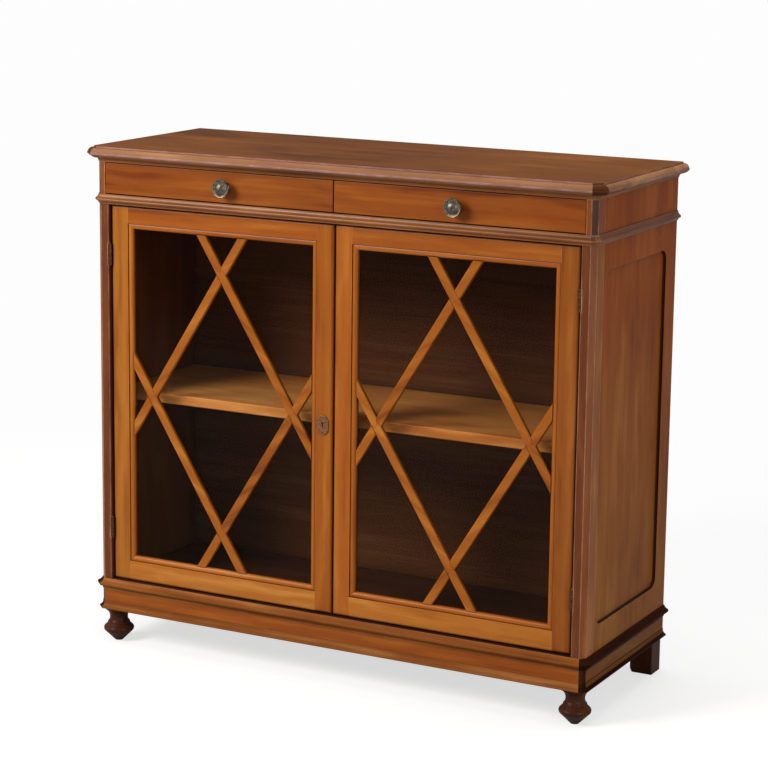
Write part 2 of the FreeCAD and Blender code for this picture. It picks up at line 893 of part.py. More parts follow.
def make_drawer(name, side, knob_in):
    """One drawer: front, two sides, back, bottom and a knob set in from its middle."""
    prefix = name + "_drawer_"
    x = low_x(side, DRAWER_INNER, DRAWER_OUTER)
    box_x = low_x(side, BOX_INNER, BOX_OUTER)
    width = "(%s) - (%s)" % (DRAWER_OUTER, DRAWER_INNER)
    box_width = "((%s) - (%s))" % (BOX_OUTER, BOX_INNER)
    height = "drawer_zone - 2 * drawer_lift"
    sill = Z_DRAWERS + " + drawer_slip"
    front = board(prefix + "front", (x, FRONT, Z_DRAWERS + " + drawer_lift"), width,
                  "drawer_front_thick", height)
    round_edges(front, "drawer_front_round", lambda spot: near(spot.y, "0"))
    side_z = "drawer_slip - drawer_lift"
    cut_y = "drawer_front_thick - drawer_housing"
    for start in ("(%s) - (%s)" % (box_x, x), "(%s) - (%s) + %s - drawer_side_thick" % (box_x, x, box_width)):
        box(front, "Subtractive", (start, cut_y, side_z + " - overrun"), "drawer_side_thick",
            "drawer_housing + overrun", "drawer_side_height + overrun")
    box(front, "Subtractive",
        ("(%s) - (%s) + drawer_side_thick - drawer_bottom_in" % (box_x, x), cut_y,
         side_z + " + drawer_bottom_up"),
        box_width + " - 2 * (drawer_side_thick - drawer_bottom_in)", "drawer_housing + overrun",
        "drawer_bottom_thick")
    hole = ("(%s) / 2 - (%s)" % (width, signed(side, knob_in)), "(%s) / 2" % height,
            "-drawer_front_thick - overrun")
    cylinder(front, "Subtractive", hole, "knob_stud_radius + fit_gap", "drawer_front_thick + 2 * overrun",
             "XZ_Plane")

    box_y = FRONT + " + " + cut_y
    box_depth = "%s - (%s)" % (DRAWER_DEPTH, cut_y)
    walls = []
    grooved = [("0", "drawer_side_thick - drawer_bottom_in"),
               (box_width + " - drawer_side_thick", "-overrun")]
    for start, groove in grooved:
        wall = new_body(prefix + "side")
        pad(wall, "XY_Plane", [rectangle("drawer_side_thick", box_depth)], "drawer_side_height")
        box(wall, "Subtractive", (groove, "-overrun", "drawer_bottom_up"), "drawer_bottom_in + overrun",
            box_depth + " + 2 * overrun", "drawer_bottom_thick")
        place(wall, "%s + %s" % (box_x, start), box_y, sill)
        walls.append(wall)
    make_group(prefix + "sides", walls)
    board(prefix + "bottom",
          (box_x + " + drawer_side_thick - drawer_bottom_in", box_y, sill + " + drawer_bottom_up"),
          box_width + " - 2 * (drawer_side_thick - drawer_bottom_in)", box_depth, "drawer_bottom_thick")
    board(prefix + "back",
          (box_x + " + drawer_side_thick", "%s + %s - drawer_side_thick" % (FRONT, DRAWER_DEPTH),
           sill + " + drawer_bottom_up + drawer_bottom_thick"),
          box_width + " - 2 * drawer_side_thick", "drawer_side_thick",
          "drawer_side_height - drawer_bottom_up - drawer_bottom_thick")
    make_knob(prefix + "knob", signed(side, DRAWER_MIDDLE + " - " + knob_in), FRONT,
              Z_DRAWERS + " + drawer_zone / 2")


def ball_radius(wide, rise):
    """The radius of a ball whose cap is so wide from its axis and rises so far."""
    return "(pow(%s; 2) + pow(%s; 2)) / (2 * %s)" % (wide, rise, rise)


def make_knob(label, x, y, z):
    """A domed knob with a dished rim, on a waisted neck and a rose, with its stud."""
    body = new_body(label)
    profile = [
        ("0", "-knob_stud"),
        ("knob_stud_radius", "-knob_stud"),
        ("knob_stud_radius", "0"),
        ("knob_rose_radius", "0"),
        ("knob_rose_radius - knob_rose / 2", "knob_rose", "knob_rose * 2", 1),
        ("knob_neck_radius", "knob_reach - knob_rim_back - knob_neck_back / 2", "knob_neck_arc", -1),
        ("knob_radius", "knob_reach - knob_rim_back + knob_neck_back / 2", "knob_neck_arc * 3 / 2", -1),
        ("knob_radius", "knob_reach - knob_neck_back - knob_rim / 2", "knob_rim * 3 / 2", 1),
        ("knob_dome_radius", "knob_reach - knob_neck_back - knob_dish", "knob_dish_arc", -1),
        ("0", "knob_reach", ball_radius("knob_dome_radius", "(knob_neck_back + knob_dish)"), 1),
    ]
    revolve(body, profile)
    place(body, x, y, z, FreeCAD.Rotation(AXIS_X, QUARTER_TURN))
    keep(body, label)


# Doors
DOOR_INNER = "meet_gap / 2"
DOOR_OUTER = HALF + " - post_width - hinge_gap"
DOOR_WIDTH = "((%s) - (%s))" % (DOOR_OUTER, DOOR_INNER)
DOOR_HEIGHT = "(door_zone - door_top_gap - door_bottom_gap)"
DOOR_LOW = Z_DOORS + " + door_bottom_gap"
OPEN_WIDTH = "(%s - hinge_stile - meet_stile)" % DOOR_WIDTH
OPEN_HEIGHT = "(%s - top_rail - bottom_rail)" % DOOR_HEIGHT
OPEN_LOW = DOOR_LOW + " + bottom_rail"
SIGHT_WIDTH = "(%s - 2 * bead_width)" % OPEN_WIDTH
SIGHT_HEIGHT = "(%s - 2 * bead_width)" % OPEN_HEIGHT
LOCK_LEVEL = DOOR_HEIGHT + " / 2 - keyhole_drop"


def opening_x(side):
    """The lower X of the hole in a door's frame."""
    return low_x(side, DOOR_INNER + " + meet_stile", DOOR_OUTER + " - hinge_stile")


def make_stile(label, side, inner, width, meeting):
    """A stile with mortises for the rails and a round outer edge."""
    body = new_body(label)
    pad(body, "XY_Plane", [rectangle(width, "door_thick")], DOOR_HEIGHT)
    outside_low = (side > 0) == meeting
    edge_x = "0" if outside_low else width
    round_edges(body, "door_round", lambda spot: near(spot.y, "0") and (
        near(spot.x, edge_x) or near(spot.z, "0") or near(spot.z, DOOR_HEIGHT)))
    mortise_x = width + " - tenon" if outside_low else "-overrun"
    mortise_y = "(door_thick - tenon_thick) / 2"
    for low, high in (("tenon_shoulder", "bottom_rail - tenon_shoulder"),
                      (DOOR_HEIGHT + " - top_rail + tenon_shoulder", DOOR_HEIGHT + " - tenon_shoulder")):
        box(body, "Subtractive", (mortise_x, mortise_y, low), "tenon + overrun", "tenon_thick",
            "(%s) - (%s)" % (high, low))
    place(body, low_x(side, inner, "%s + %s" % (inner, width)), DOOR_Y, DOOR_LOW)
    return keep(body, label)


def make_rail(label, side, low, height, round_high):
    """A rail with a tenon at each end."""
    body = new_body(label)
    pad(body, "XY_Plane", [rectangle(OPEN_WIDTH, "door_thick")], height)
    edge_z = height if round_high else "0"
    round_edges(body, "door_round", lambda spot: near(spot.y, "0") and near(spot.z, edge_z))
    box(body, "Additive", ("-tenon", "(door_thick - tenon_thick) / 2", "tenon_shoulder"),
        OPEN_WIDTH + " + 2 * tenon", "tenon_thick", height + " - 2 * tenon_shoulder")
    place(body, opening_x(side), DOOR_Y, low)
    return keep(body, label)


def mitred_strip(name, profile, length, width, spot, turns):
    """A strip whose ends are mitred. Its profile is (inwards, back), and it is turned in quarter turns."""
    body = new_body(name)
    pad(body, "XY_Plane", [profile], length)
    far = width + " + overrun"
    low = [("-overrun", "-overrun"), (far, "-overrun"), (far, far)]
    high = [("-overrun", "%s + overrun" % length), (far, "%s - (%s)" % (length, far)),
            (far, "%s + overrun" % length)]
    cut = pocket(body, "XZ_Plane", [low, high], "2 * door_thick", "door_thick / 2")
    cut.Midplane = True
    place(body, *spot, FreeCAD.Rotation(AXIS_Y, turns * QUARTER_TURN))
    return body


def strip_frame(label, side, profile, width, y):
    """Four mitred strips round the hole in a door's frame, as one node."""
    x = opening_x(side)
    right = "%s + %s" % (x, OPEN_WIDTH)
    top = "%s + %s" % (OPEN_LOW, OPEN_HEIGHT)
    strips = [
        mitred_strip(label, profile, OPEN_HEIGHT, width, (x, y, OPEN_LOW), 0),
        mitred_strip(label, profile, OPEN_WIDTH, width, (x, y, top), 1),
        mitred_strip(label, profile, OPEN_HEIGHT, width, (right, y, top), 2),
        mitred_strip(label, profile, OPEN_WIDTH, width, (right, y, OPEN_LOW), -1),
    ]
    make_group(label, strips)


RUN = "(%s / 2 - cross_from_side)" % SIGHT_WIDTH
RISE = "(%s / 2 - cross_from_top)" % SIGHT_HEIGHT
SLANT = "sqrt(pow(%s; 2) + pow(%s; 2))" % (RUN, RISE)


def bar_outline(x_sign, z_sign):
    """A lattice bar from the top or bottom edge to a side edge, cut to the hole it crosses.

    It starts on the edge of z_sign, passes the crossing in the middle and the crossing beside x_sign.
    """
    start = "(-%s * cross_from_top / %s)" % (RUN, RISE)
    finish = "(-%s * cross_from_side / %s)" % (RISE, RUN)
    across = "(bar_width / 2 * %s / %s)" % (SLANT, RISE)
    along = "(bar_width / 2 * %s / %s)" % (SLANT, RUN)
    corners = [
        ("%s - %s" % (start, across), SIGHT_HEIGHT + " / 2"),
        ("%s + %s" % (start, across), SIGHT_HEIGHT + " / 2"),
        (SIGHT_WIDTH + " / 2", "%s + %s" % (finish, along)),
        (SIGHT_WIDTH + " / 2", "%s - %s" % (finish, along)),
    ]
    return [("%d * (%s)" % (x_sign, x), "%d * (%s)" % (z_sign, z)) for x, z in corners]


def make_bar(name, own, others, over, spot):
    """One bar, halved where the two bars of the other slope cross it."""
    body = new_body(name)
    pad(body, "XZ_Plane", [own], "bar_thick", "-bar_thick")
    round_edges(body, "bar_round", lambda edge: near(edge.y, "0"), "3 * bar_width")
    pocket(body, "XZ_Plane", others, "bar_thick / 2 + overrun", "-bar_thick / 2" if over else "overrun")
    place(body, *spot)
    return body


def make_lattice(label, side):
    """Four bars that cross in a tall diamond. Two lie over the other two, halved into them."""
    centre = ("%s + %s / 2" % (opening_x(side), OPEN_WIDTH), DOOR_Y + " + bead_depth - bar_thick",
              "%s + %s / 2" % (OPEN_LOW, OPEN_HEIGHT))
    falling = [bar_outline(1, 1), bar_outline(-1, -1)]
    rising = [bar_outline(-1, 1), bar_outline(1, -1)]
    bars = [make_bar(label, own, rising, True, centre) for own in falling]
    bars += [make_bar(label, own, falling, False, centre) for own in rising]
    make_group(label, bars)


def make_leaf(label, side, z, fixed):
    """One leaf of a butt hinge, with its knuckles. The pin's axis is the body's own Z axis."""
    body = new_body(label)
    third = "hinge_length / 3"
    face = "hinge_gap / 2"
    if fixed:
        x = low_x(side, face + " - leaf_thick", face)
    else:
        x = low_x(-side, face + " - leaf_thick", face)
    pad(body, "XY_Plane", [rectangle("leaf_thick", "leaf_depth", x, "0")], "hinge_length")
    if fixed:
        own = [("0", third + " - knuckle_gap"),
               ("2 * " + third + " + knuckle_gap", third + " - knuckle_gap")]
        other = [(third + " - knuckle_gap", third + " + 2 * knuckle_gap")]
    else:
        own = [(third, third)]
        other = [("-overrun", third + " + overrun"), ("2 * " + third, third + " + overrun")]
    for low, height in other:
        cylinder(body, "Subtractive", ("0", "0", low), "knuckle_radius + knuckle_room", height)
    for low, height in own:
        cylinder(body, "Additive", ("0", "0", low), "knuckle_radius", height)
    cylinder(body, "Subtractive", ("0", "0", "-overrun"), "hinge_pin_radius + pin_play",
             "hinge_length + 2 * overrun")
    place(body, signed(side, PIN_X), PIN_Y, z)
    return body


def make_hinge_pin(label, side, z):
    """A hinge pin with a small round finial at each end."""
    body = new_body(label)
    cap = ball_radius("finial_radius", "(finial_height - pin_play)")
    profile = [
        ("0", "-finial_height"),
        ("finial_radius", "-pin_play", cap, 1),
        ("hinge_pin_radius", "-pin_play"),
        ("hinge_pin_radius", "hinge_length + pin_play"),
        ("finial_radius", "hinge_length + pin_play"),
        ("0", "hinge_length + finial_height", cap, 1),
    ]
    revolve(body, profile)
    place(body, signed(side, PIN_X), PIN_Y, z)
    return body


def make_door(name, side):
    """One door: frame, front bead, lattice, glass, back bead and hinges."""
    prefix = name + "_door_"
    hinge_inner = DOOR_OUTER + " - hinge_stile"
    make_stile(prefix + "hinge_stile", side, hinge_inner, "hinge_stile", False)
    meeting = make_stile(prefix + "meeting_stile", side, DOOR_INNER, "meet_stile", True)
    make_rail(prefix + "top_rail", side, "%s + %s" % (OPEN_LOW, OPEN_HEIGHT), "top_rail", True)
    make_rail(prefix + "bottom_rail", side, DOOR_LOW, "bottom_rail", False)
    bead = [
        ("0", "bead_quirk"),
        ("bead_width", "bead_drop", "bead_arc", 1),
        ("bead_width", "bead_depth"),
        ("0", "bead_depth"),
    ]
    strip_frame(prefix + "front_bead", side, bead, "bead_width", DOOR_Y)
    back_bead = [
        ("0", "0"),
        ("back_bead_width", "0"),
        ("back_bead_width", "back_bead_width - back_bead_round"),
        ("back_bead_width - back_bead_round", "back_bead_width", "back_bead_round", 1),
        ("0", "back_bead_width"),
    ]
    glass_y = DOOR_Y + " + bead_depth"
    strip_frame(prefix + "back_bead", side, back_bead, "back_bead_width", glass_y + " + glass_thick")
    board(prefix + "glass", (opening_x(side) + " + glass_gap", glass_y, OPEN_LOW + " + glass_gap"),
          OPEN_WIDTH + " - 2 * glass_gap", "glass_thick", OPEN_HEIGHT + " - 2 * glass_gap")
    make_lattice(prefix + "lattice", side)
    leaves = [make_leaf(prefix + "leaf", side, level, False) for level in hinge_levels()]
    make_group(prefix + "hinge_leaves", leaves)
    pins = [make_hinge_pin(prefix + "pin", side, level) for level in hinge_levels()]
    make_group(prefix + "hinge_pins", pins)
    return meeting


def make_lock(stile):
    """The left door's lock: a cased bolt let into the meeting stile, behind an oval key plate."""
    low = LOCK_LEVEL + " - lock_height / 2"
    middle_y = "(door_thick - lock_thick) / 2"
    box(stile, "Subtractive", ("meet_stile - lock_depth", middle_y, low), "lock_depth + overrun",
        "lock_thick", "lock_height")
    key_x = "meet_stile - key_in"
    key_z = LOCK_LEVEL + " + keyhole_drop / 2"
    cylinder(stile, "Subtractive", (key_x, key_z, "-(%s)" % middle_y), "keyhole_radius",
             middle_y + " + overrun", "XZ_Plane")
    box(stile, "Subtractive", (key_x + " - keyhole_width / 2", "-overrun", key_z + " - keyhole_drop"),
        "keyhole_width", middle_y + " + overrun", "keyhole_drop")
    case_x = "-(%s) - lock_depth" % DOOR_INNER
    level = "%s + %s" % (DOOR_LOW, LOCK_LEVEL)
    case = board("left_door_lock_case", (case_x, DOOR_Y + " + " + middle_y, level + " - lock_height / 2"),
                 "lock_depth", "lock_thick", "lock_height")
    channel = "lock_bolt_length + lock_bolt_back + 2 * fit_gap"
    box(case, "Subtractive",
        ("lock_depth - (%s)" % channel, "(lock_thick - lock_bolt_thick) / 2 - fit_gap",
         "(lock_height - lock_bolt_height) / 2 - fit_gap"),
        channel + " + overrun", "lock_bolt_thick + 2 * fit_gap", "lock_bolt_height + 2 * fit_gap")
    board("lock_bolt",
          ("-(%s) - lock_bolt_back - lock_bolt_length" % DOOR_INNER,
           DOOR_Y + " + (door_thick - lock_bolt_thick) / 2", level + " - lock_bolt_height / 2"),
          "lock_bolt_length", "lock_bolt_thick", "lock_bolt_height")
    plate = new_body("key_plate")
    oval = "key_plate_width / 2"
    straight = "(key_plate_height - key_plate_width) / 2"
    outline = [
        ("-" + oval, "-" + straight, oval, -1),
        ("-" + oval, straight),
        ("0", "key_plate_height / 2", oval, -1),
        (oval, straight, oval, -1),
        (oval, "-" + straight),
        ("0", "-key_plate_height / 2", oval, -1),
    ]
    pad(plate, "XZ_Plane", [outline], "key_plate_thick")
    round_edges(plate, "key_plate_thick / 2", lambda spot: near(spot.y, "-key_plate_thick"))
    cylinder(plate, "Subtractive", ("0", "keyhole_drop / 2", "-overrun"), "keyhole_radius",
             "key_plate_thick + 2 * overrun", "XZ_Plane")
    box(plate, "Subtractive", ("-keyhole_width / 2", "-key_plate_thick - overrun", "-keyhole_drop / 2"),
        "keyhole_width", "key_plate_thick + 2 * overrun", "keyhole_drop")
    place(plate, "-(%s) - key_in" % DOOR_INNER, DOOR_Y, level)
    keep(plate, "left_door_key_plate")


def make_door_bolt(stile):
    """The right door's inside bolt on its plate, and the pocket that takes the lock's bolt."""
    box(stile, "Subtractive",
        ("-overrun", "(door_thick - lock_bolt_thick) / 2 - 2 * fit_gap",
         LOCK_LEVEL + " - lock_bolt_height / 2 - 2 * fit_gap"),
        "lock_throw + overrun", "lock_bolt_thick + 4 * fit_gap", "lock_bolt_height + 4 * fit_gap")
    plate_y = DOOR_Y + " + door_thick"
    plate_z = "%s + %s - bolt_plate_height - bolt_top_gap" % (DOOR_LOW, DOOR_HEIGHT)
    plate = board("right_door_bolt_plate", (BOLT_X + " - bolt_plate_width / 2", plate_y, plate_z),
                  "bolt_plate_width", "bolt_plate_thick", "bolt_plate_height")
    guide_width = "bolt_width + 2 * (fit_gap + bolt_guide_wall)"
    guide_depth = "bolt_plate_thick + bolt_thick + 2 * fit_gap + bolt_guide_wall"
    guide_x = "(bolt_plate_width - (%s)) / 2" % guide_width
    for level in ("0", "bolt_plate_height - bolt_guide_height"):
        box(plate, "Additive", (guide_x, "0", level), guide_width, guide_depth, "bolt_guide_height")
    box(plate, "Subtractive",
        ("bolt_plate_width / 2 - bolt_width / 2 - fit_gap", "bolt_plate_thick", "-overrun"),
        "bolt_width + 2 * fit_gap", "bolt_thick + 2 * fit_gap", "bolt_plate_height + 2 * overrun")
    bolt = board("door_bolt",
                 (BOLT_X + " - bolt_width / 2", plate_y + " + bolt_plate_thick + fit_gap",
                  plate_z + " + bolt_plate_height - bolt_length"),
                 "bolt_width", "bolt_thick", "bolt_length")
    clear = "(bolt_plate_height - 2 * bolt_guide_height)"
    grip_z = "bolt_length - bolt_plate_height + bolt_guide_height + %s / 4" % clear
    box(bolt, "Additive", ("0", "0", grip_z), "bolt_width", "bolt_thick + bolt_grip", "bolt_grip")


# The whole piece
make_top()
make_cornice()
make_mid_moulding()
make_lower_moulding()
make_base_moulding()
for name, side in SIDES.items():
    make_post(name, side)
    make_side(name, side)
make_boards()
make_stops()
make_shelf_pins()
make_plinth()
for name, side in SIDES.items():
    make_front_foot(name, side)
make_rear_feet()
for name, side in SIDES.items():
    make_drawer(name, side, "left_knob_in" if side < 0 else "0")
make_lock(make_door("left", SIDES["left"]))
make_door_bolt(make_door("right", SIDES["right"]))
post_leaves = []
for side in SIDES.values():
    for level in hinge_levels():
        post_leaves.append(make_leaf("post_leaf", side, level, True))
make_group("post_hinge_leaves", post_leaves)
doc.recompute()

# Check of every object before anything is written
faults = [item.Name for item in doc.Objects if "Invalid" in item.State or "Error" in item.State]
for item in nodes:
    if item.Shape.isNull() or not item.Shape.isValid() or not item.Shape.Solids:
        faults.append(item.Label)
if faults:
    raise ValueError("these did not compute: " + ", ".join(faults))

os.makedirs("parts", exist_ok=True)
for item in nodes:
    item.Shape.exportStep("parts/%s.step" % item.Label)
    spots = item.Shape.BoundBox
    print("%-28s solids %d  x %8.2f %8.2f  y %8.2f %8.2f  z %8.2f %8.2f" % (
        item.Label, len(item.Shape.Solids), spots.XMin, spots.XMax, spots.YMin, spots.YMax,
        spots.ZMin, spots.ZMax))
print("nodes", len(nodes))
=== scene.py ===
import math
import bmesh
import bpy
from mathutils import Matrix, Vector

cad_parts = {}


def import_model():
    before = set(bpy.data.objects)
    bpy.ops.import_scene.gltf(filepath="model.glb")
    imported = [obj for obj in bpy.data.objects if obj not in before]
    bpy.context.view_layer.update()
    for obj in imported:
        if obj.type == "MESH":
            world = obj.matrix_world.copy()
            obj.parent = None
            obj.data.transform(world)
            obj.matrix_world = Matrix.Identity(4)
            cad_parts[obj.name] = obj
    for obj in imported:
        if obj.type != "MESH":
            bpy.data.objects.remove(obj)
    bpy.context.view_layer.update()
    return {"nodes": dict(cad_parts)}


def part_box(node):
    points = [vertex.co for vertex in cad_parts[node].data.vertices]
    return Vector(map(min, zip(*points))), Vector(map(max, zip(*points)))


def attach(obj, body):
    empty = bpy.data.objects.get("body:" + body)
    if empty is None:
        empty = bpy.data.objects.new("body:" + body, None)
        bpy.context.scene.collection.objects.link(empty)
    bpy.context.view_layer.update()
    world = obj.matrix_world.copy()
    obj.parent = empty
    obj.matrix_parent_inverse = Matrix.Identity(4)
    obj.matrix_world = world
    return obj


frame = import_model()
nodes = frame["nodes"]

# Planes of the carcass, from the nodes themselves, in metres
BASE_NOSE_HEIGHT = 0.0075
WALL_DEPTH = 0.015
SIDE_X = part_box("plinth_sides")[1].x
FRONT_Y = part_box("plinth_front")[0].y
FRIEZE_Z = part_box("mid_moulding")[1].z
NOSE_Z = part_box("base_moulding")[0].z + BASE_NOSE_HEIGHT


# Shader helpers
def add(tree, kind, props=None, inputs=None):
    """Adds a shader node. An input is a number, a colour or another node's socket."""
    node = tree.nodes.new(kind)
    for key, item in (props or {}).items():
        setattr(node, key, item)
    for key, item in (inputs or {}).items():
        if isinstance(item, bpy.types.NodeSocket):
            tree.links.new(item, node.inputs[key])
        else:
            node.inputs[key].default_value = item
    return node


def math_node(tree, operation, first, second=0.0):
    return add(tree, "ShaderNodeMath", {"operation": operation}, {0: first, 1: second}).outputs[0]


def away(tree, item, middle):
    """How far an item is from a middle value, on either side."""
    return math_node(tree, "ABSOLUTE", math_node(tree, "SUBTRACT", item, middle))


def mix_colour(tree, factor, first, second, blend="MIX"):
    node = tree.nodes.new("ShaderNodeMix")
    node.data_type = "RGBA"
    node.blend_type = blend
    for socket, item in ((node.inputs[0], factor), (node.inputs[6], first), (node.inputs[7], second)):
        if isinstance(item, bpy.types.NodeSocket):
            tree.links.new(item, socket)
        else:
            socket.default_value = item
    return node.outputs[2]


def mix_vector(tree, factor, first, second):
    node = tree.nodes.new("ShaderNodeMix")
    node.data_type = "VECTOR"
    tree.links.new(factor, node.inputs[0])
    tree.links.new(first, node.inputs[4])
    tree.links.new(second, node.inputs[5])
    return node.outputs[1]


def remap(tree, item, low, high, new_low=0.0, new_high=1.0):
    node = add(tree, "ShaderNodeMapRange", {"clamp": True},
               {"Value": item, "From Min": low, "From Max": high, "To Min": new_low, "To Max": new_high})
    return node.outputs[0]


def noise(tree, vector, scale, detail=3.0, roughness=0.5, distortion=0.0):
    node = add(tree, "ShaderNodeTexNoise", {"noise_dimensions": "3D"},
               {"Vector": vector, "Scale": scale, "Detail": detail, "Roughness": roughness,
                "Distortion": distortion})
    return node.outputs[0]


def stretch(tree, vector, scale, shift):
    node = add(tree, "ShaderNodeMapping", {"vector_type": "POINT"},
               {"Vector": vector, "Location": shift, "Scale": scale})
    return node.outputs[0]


def split(tree, vector):
    """The x, y and z of a vector."""
    return add(tree, "ShaderNodeSeparateXYZ", None, {0: vector}).outputs


def rounded_match(tree, radius):
    """1 on flat places, and less the nearer a place is to an arris."""
    bevel = add(tree, "ShaderNodeBevel", {"samples": 4}, {"Radius": radius}).outputs[0]
    straight = add(tree, "ShaderNodeNewGeometry").outputs["Normal"]
    match = add(tree, "ShaderNodeVectorMath", {"operation": "DOT_PRODUCT"}, {0: bevel, 1: straight})
    return match.outputs[1]


def srgb(red, green, blue):
    """A linear colour from a display colour of 0 to 255."""
    parts = []
    for part in (red, green, blue):
        part = part / 255
        parts.append(part / 12.92 if part <= 0.04045 else ((part + 0.055) / 1.055) ** 2.4)
    return (*parts, 1.0)


def new_tree(name):
    material = bpy.data.materials.new(name)
    material.use_nodes = True
    tree = material.node_tree
    tree.nodes.clear()
    return material, tree


def finish_tree(tree, shader):
    output = tree.nodes.new("ShaderNodeOutputMaterial")
    tree.links.new(shader, output.inputs["Surface"])


# Masks, which are 1 on a part of a piece and 0 on the rest
LEVEL_RISE = 0.95
CANT_FROM = math.radians(25)
FLANK_FROM = math.radians(65)
REAR_FROM = math.radians(120)
REAR_TURN = 0.5
COVE_TURN = 0.93
LOW_SPAN = (0.75, 0.15)
HIGH_SPAN = (0.6, 0.95)


def side_mask(tree, parts):
    """1 on the parts of a moulding that run along the sides, 0 on the front part."""
    out = math_node(tree, "SUBTRACT", math_node(tree, "ABSOLUTE", parts[0]), SIDE_X)
    forward = math_node(tree, "SUBTRACT", FRONT_Y, parts[1])
    return math_node(tree, "GREATER_THAN", out, forward)


def turn_masks(tree, parts):
    """How far round the corner a face looks. The ledges are the flanks' level faces."""
    normal = split(tree, add(tree, "ShaderNodeTexCoord").outputs["Normal"])
    outward = math_node(tree, "MULTIPLY", normal[0], math_node(tree, "SIGN", parts[0]))
    forward = math_node(tree, "MULTIPLY", normal[1], -1.0)
    angle = math_node(tree, "ARCTAN2", outward, forward)
    level = math_node(tree, "GREATER_THAN", math_node(tree, "ABSOLUTE", normal[2]), LEVEL_RISE)
    upright = math_node(tree, "SUBTRACT", 1.0, level)
    before_rear = math_node(tree, "LESS_THAN", math_node(tree, "ABSOLUTE", angle), REAR_FROM)
    turned = math_node(tree, "MULTIPLY", upright, before_rear)
    past_front = math_node(tree, "MULTIPLY", turned, math_node(tree, "GREATER_THAN", angle, CANT_FROM))
    flank = math_node(tree, "MULTIPLY", turned, math_node(tree, "GREATER_THAN", angle, FLANK_FROM))
    return {
        "front": math_node(tree, "SUBTRACT", turned, past_front),
        "cant": math_node(tree, "SUBTRACT", past_front, flank),
        "flank": flank,
        "ledge": math_node(tree, "MULTIPLY", level, side_mask(tree, parts)),
        "rear": math_node(tree, "GREATER_THAN", normal[1], REAR_TURN),
        "cove": math_node(tree, "LESS_THAN", math_node(tree, "ABSOLUTE", normal[0]), COVE_TURN),
    }


def place_masks(tree, parts):
    """Where on the object a face is. Nose and cove_run are the two halves of the lowest moulding."""
    nose = math_node(tree, "LESS_THAN", parts[2], NOSE_Z)
    return {
        "nose": nose,
        "cove_run": math_node(tree, "SUBTRACT", 1.0, nose),
        "inside": math_node(tree, "LESS_THAN", math_node(tree, "ABSOLUTE", parts[0]), SIDE_X - WALL_DEPTH),
        "frieze": math_node(tree, "GREATER_THAN", parts[2], FRIEZE_Z),
        "low": remap(tree, parts[2], *LOW_SPAN),
        "high": remap(tree, parts[2], *HIGH_SPAN),
    }


# Grain directions
def strip_mask(tree, x, z, centre):
    """1 on the upright strips of a rectangular bead, 0 on the level ones."""
    middle_x, middle_z, half_width, half_height = centre
    reach_x = math_node(tree, "SUBTRACT", away(tree, x, middle_x), half_width)
    reach_z = math_node(tree, "SUBTRACT", away(tree, z, middle_z), half_height)
    return math_node(tree, "GREATER_THAN", reach_x, reach_z)


def bar_mask(tree, x, z, centre):
    """1 on the lattice bars that fall to the right, 0 on those that rise."""
    middle_x, middle_z, slope, reach = centre
    across = math_node(tree, "MULTIPLY", math_node(tree, "SUBTRACT", x, middle_x), slope)
    height = math_node(tree, "SUBTRACT", z, middle_z)
    fall = math_node(tree, "ABSOLUTE", math_node(tree, "ADD", height, across))
    rise = math_node(tree, "ABSOLUTE", math_node(tree, "SUBTRACT", height, across))
    return math_node(tree, "LESS_THAN", away(tree, fall, reach), away(tree, rise, reach))


def grain_vector(tree, position, grain, centre):
    """Turns the place on the object into grain coordinates: along, across, through."""
    x, y, z = split(tree, position)

    def join(first, second, third):
        return add(tree, "ShaderNodeCombineXYZ", None, {0: first, 1: second, 2: third}).outputs[0]

    if grain == "X":
        return join(x, z, y)
    if grain == "Y":
        return join(y, z, x)
    if grain == "Z":
        return join(z, x, y)
    if grain == "round":
        return mix_vector(tree, side_mask(tree, (x, y, z)), join(x, z, y), join(y, z, x))
    if grain == "strips":
        return mix_vector(tree, strip_mask(tree, x, z, centre), join(x, z, y), join(z, x, y))
    if grain == "bars":
        angle = math.atan(centre[2])
        along = math_node(tree, "MULTIPLY", x, math.cos(angle))
        climb = math_node(tree, "MULTIPLY", z, math.sin(angle))
        up = math_node(tree, "ADD", along, climb)
        down = math_node(tree, "SUBTRACT", along, climb)
        return mix_vector(tree, bar_mask(tree, x, z, centre), join(up, down, y), join(down, up, y))
    raise ValueError(grain)


# Wood: each layer has its scale along, across and through the grain, detail, roughness and distortion
TONE_LAYER = ((1.6, 7.0, 7.0), 2.0, 0.5, 0.6)
WAVY_LAYER = ((2.2, 26.0, 26.0), 3.0, 0.55, 1.2)
STREAK_LAYER = ((3.0, 140.0, 140.0), 4.0, 0.6, 0.3)
PORE_LAYER = ((38.0, 900.0, 900.0), 2.0, 0.6, 0.0)
BANDS_SCALE = (0.35, 1.0, 1.0)
TONE_SHARE = 0.42
WAVY_SHARE = 0.28
BANDS_SHARE = 0.10
STREAK_SHARE = 0.22
RAMP_REACH = 0.17
# The near-black brown that corners and creases are darkened to: painted shade
CORNER_SHADE_COLOUR = (0.030, 0.0085, 0.0045, 1.0)
SEED_SHIFT = (3.7, 1.9, 2.3)
CORNER_REACH = 0.016
GRAIN_DEPTH = 0.0004

# How the pale arrises, which are wear and painted highlights, are picked: reach in metres, and the least and
# most match of a worn arris
BOARD_WEAR_AND_HIGHLIGHT = (0.0022, 0.80, 0.985)
POST_WEAR_AND_HIGHLIGHT = (0.003, 0.93, 0.995)


def grain_layer(tree, fibre, shift, layer):
    scale, detail, roughness, distortion = layer
    return noise(tree, stretch(tree, fibre, scale, shift), 1.0, detail, roughness, distortion)


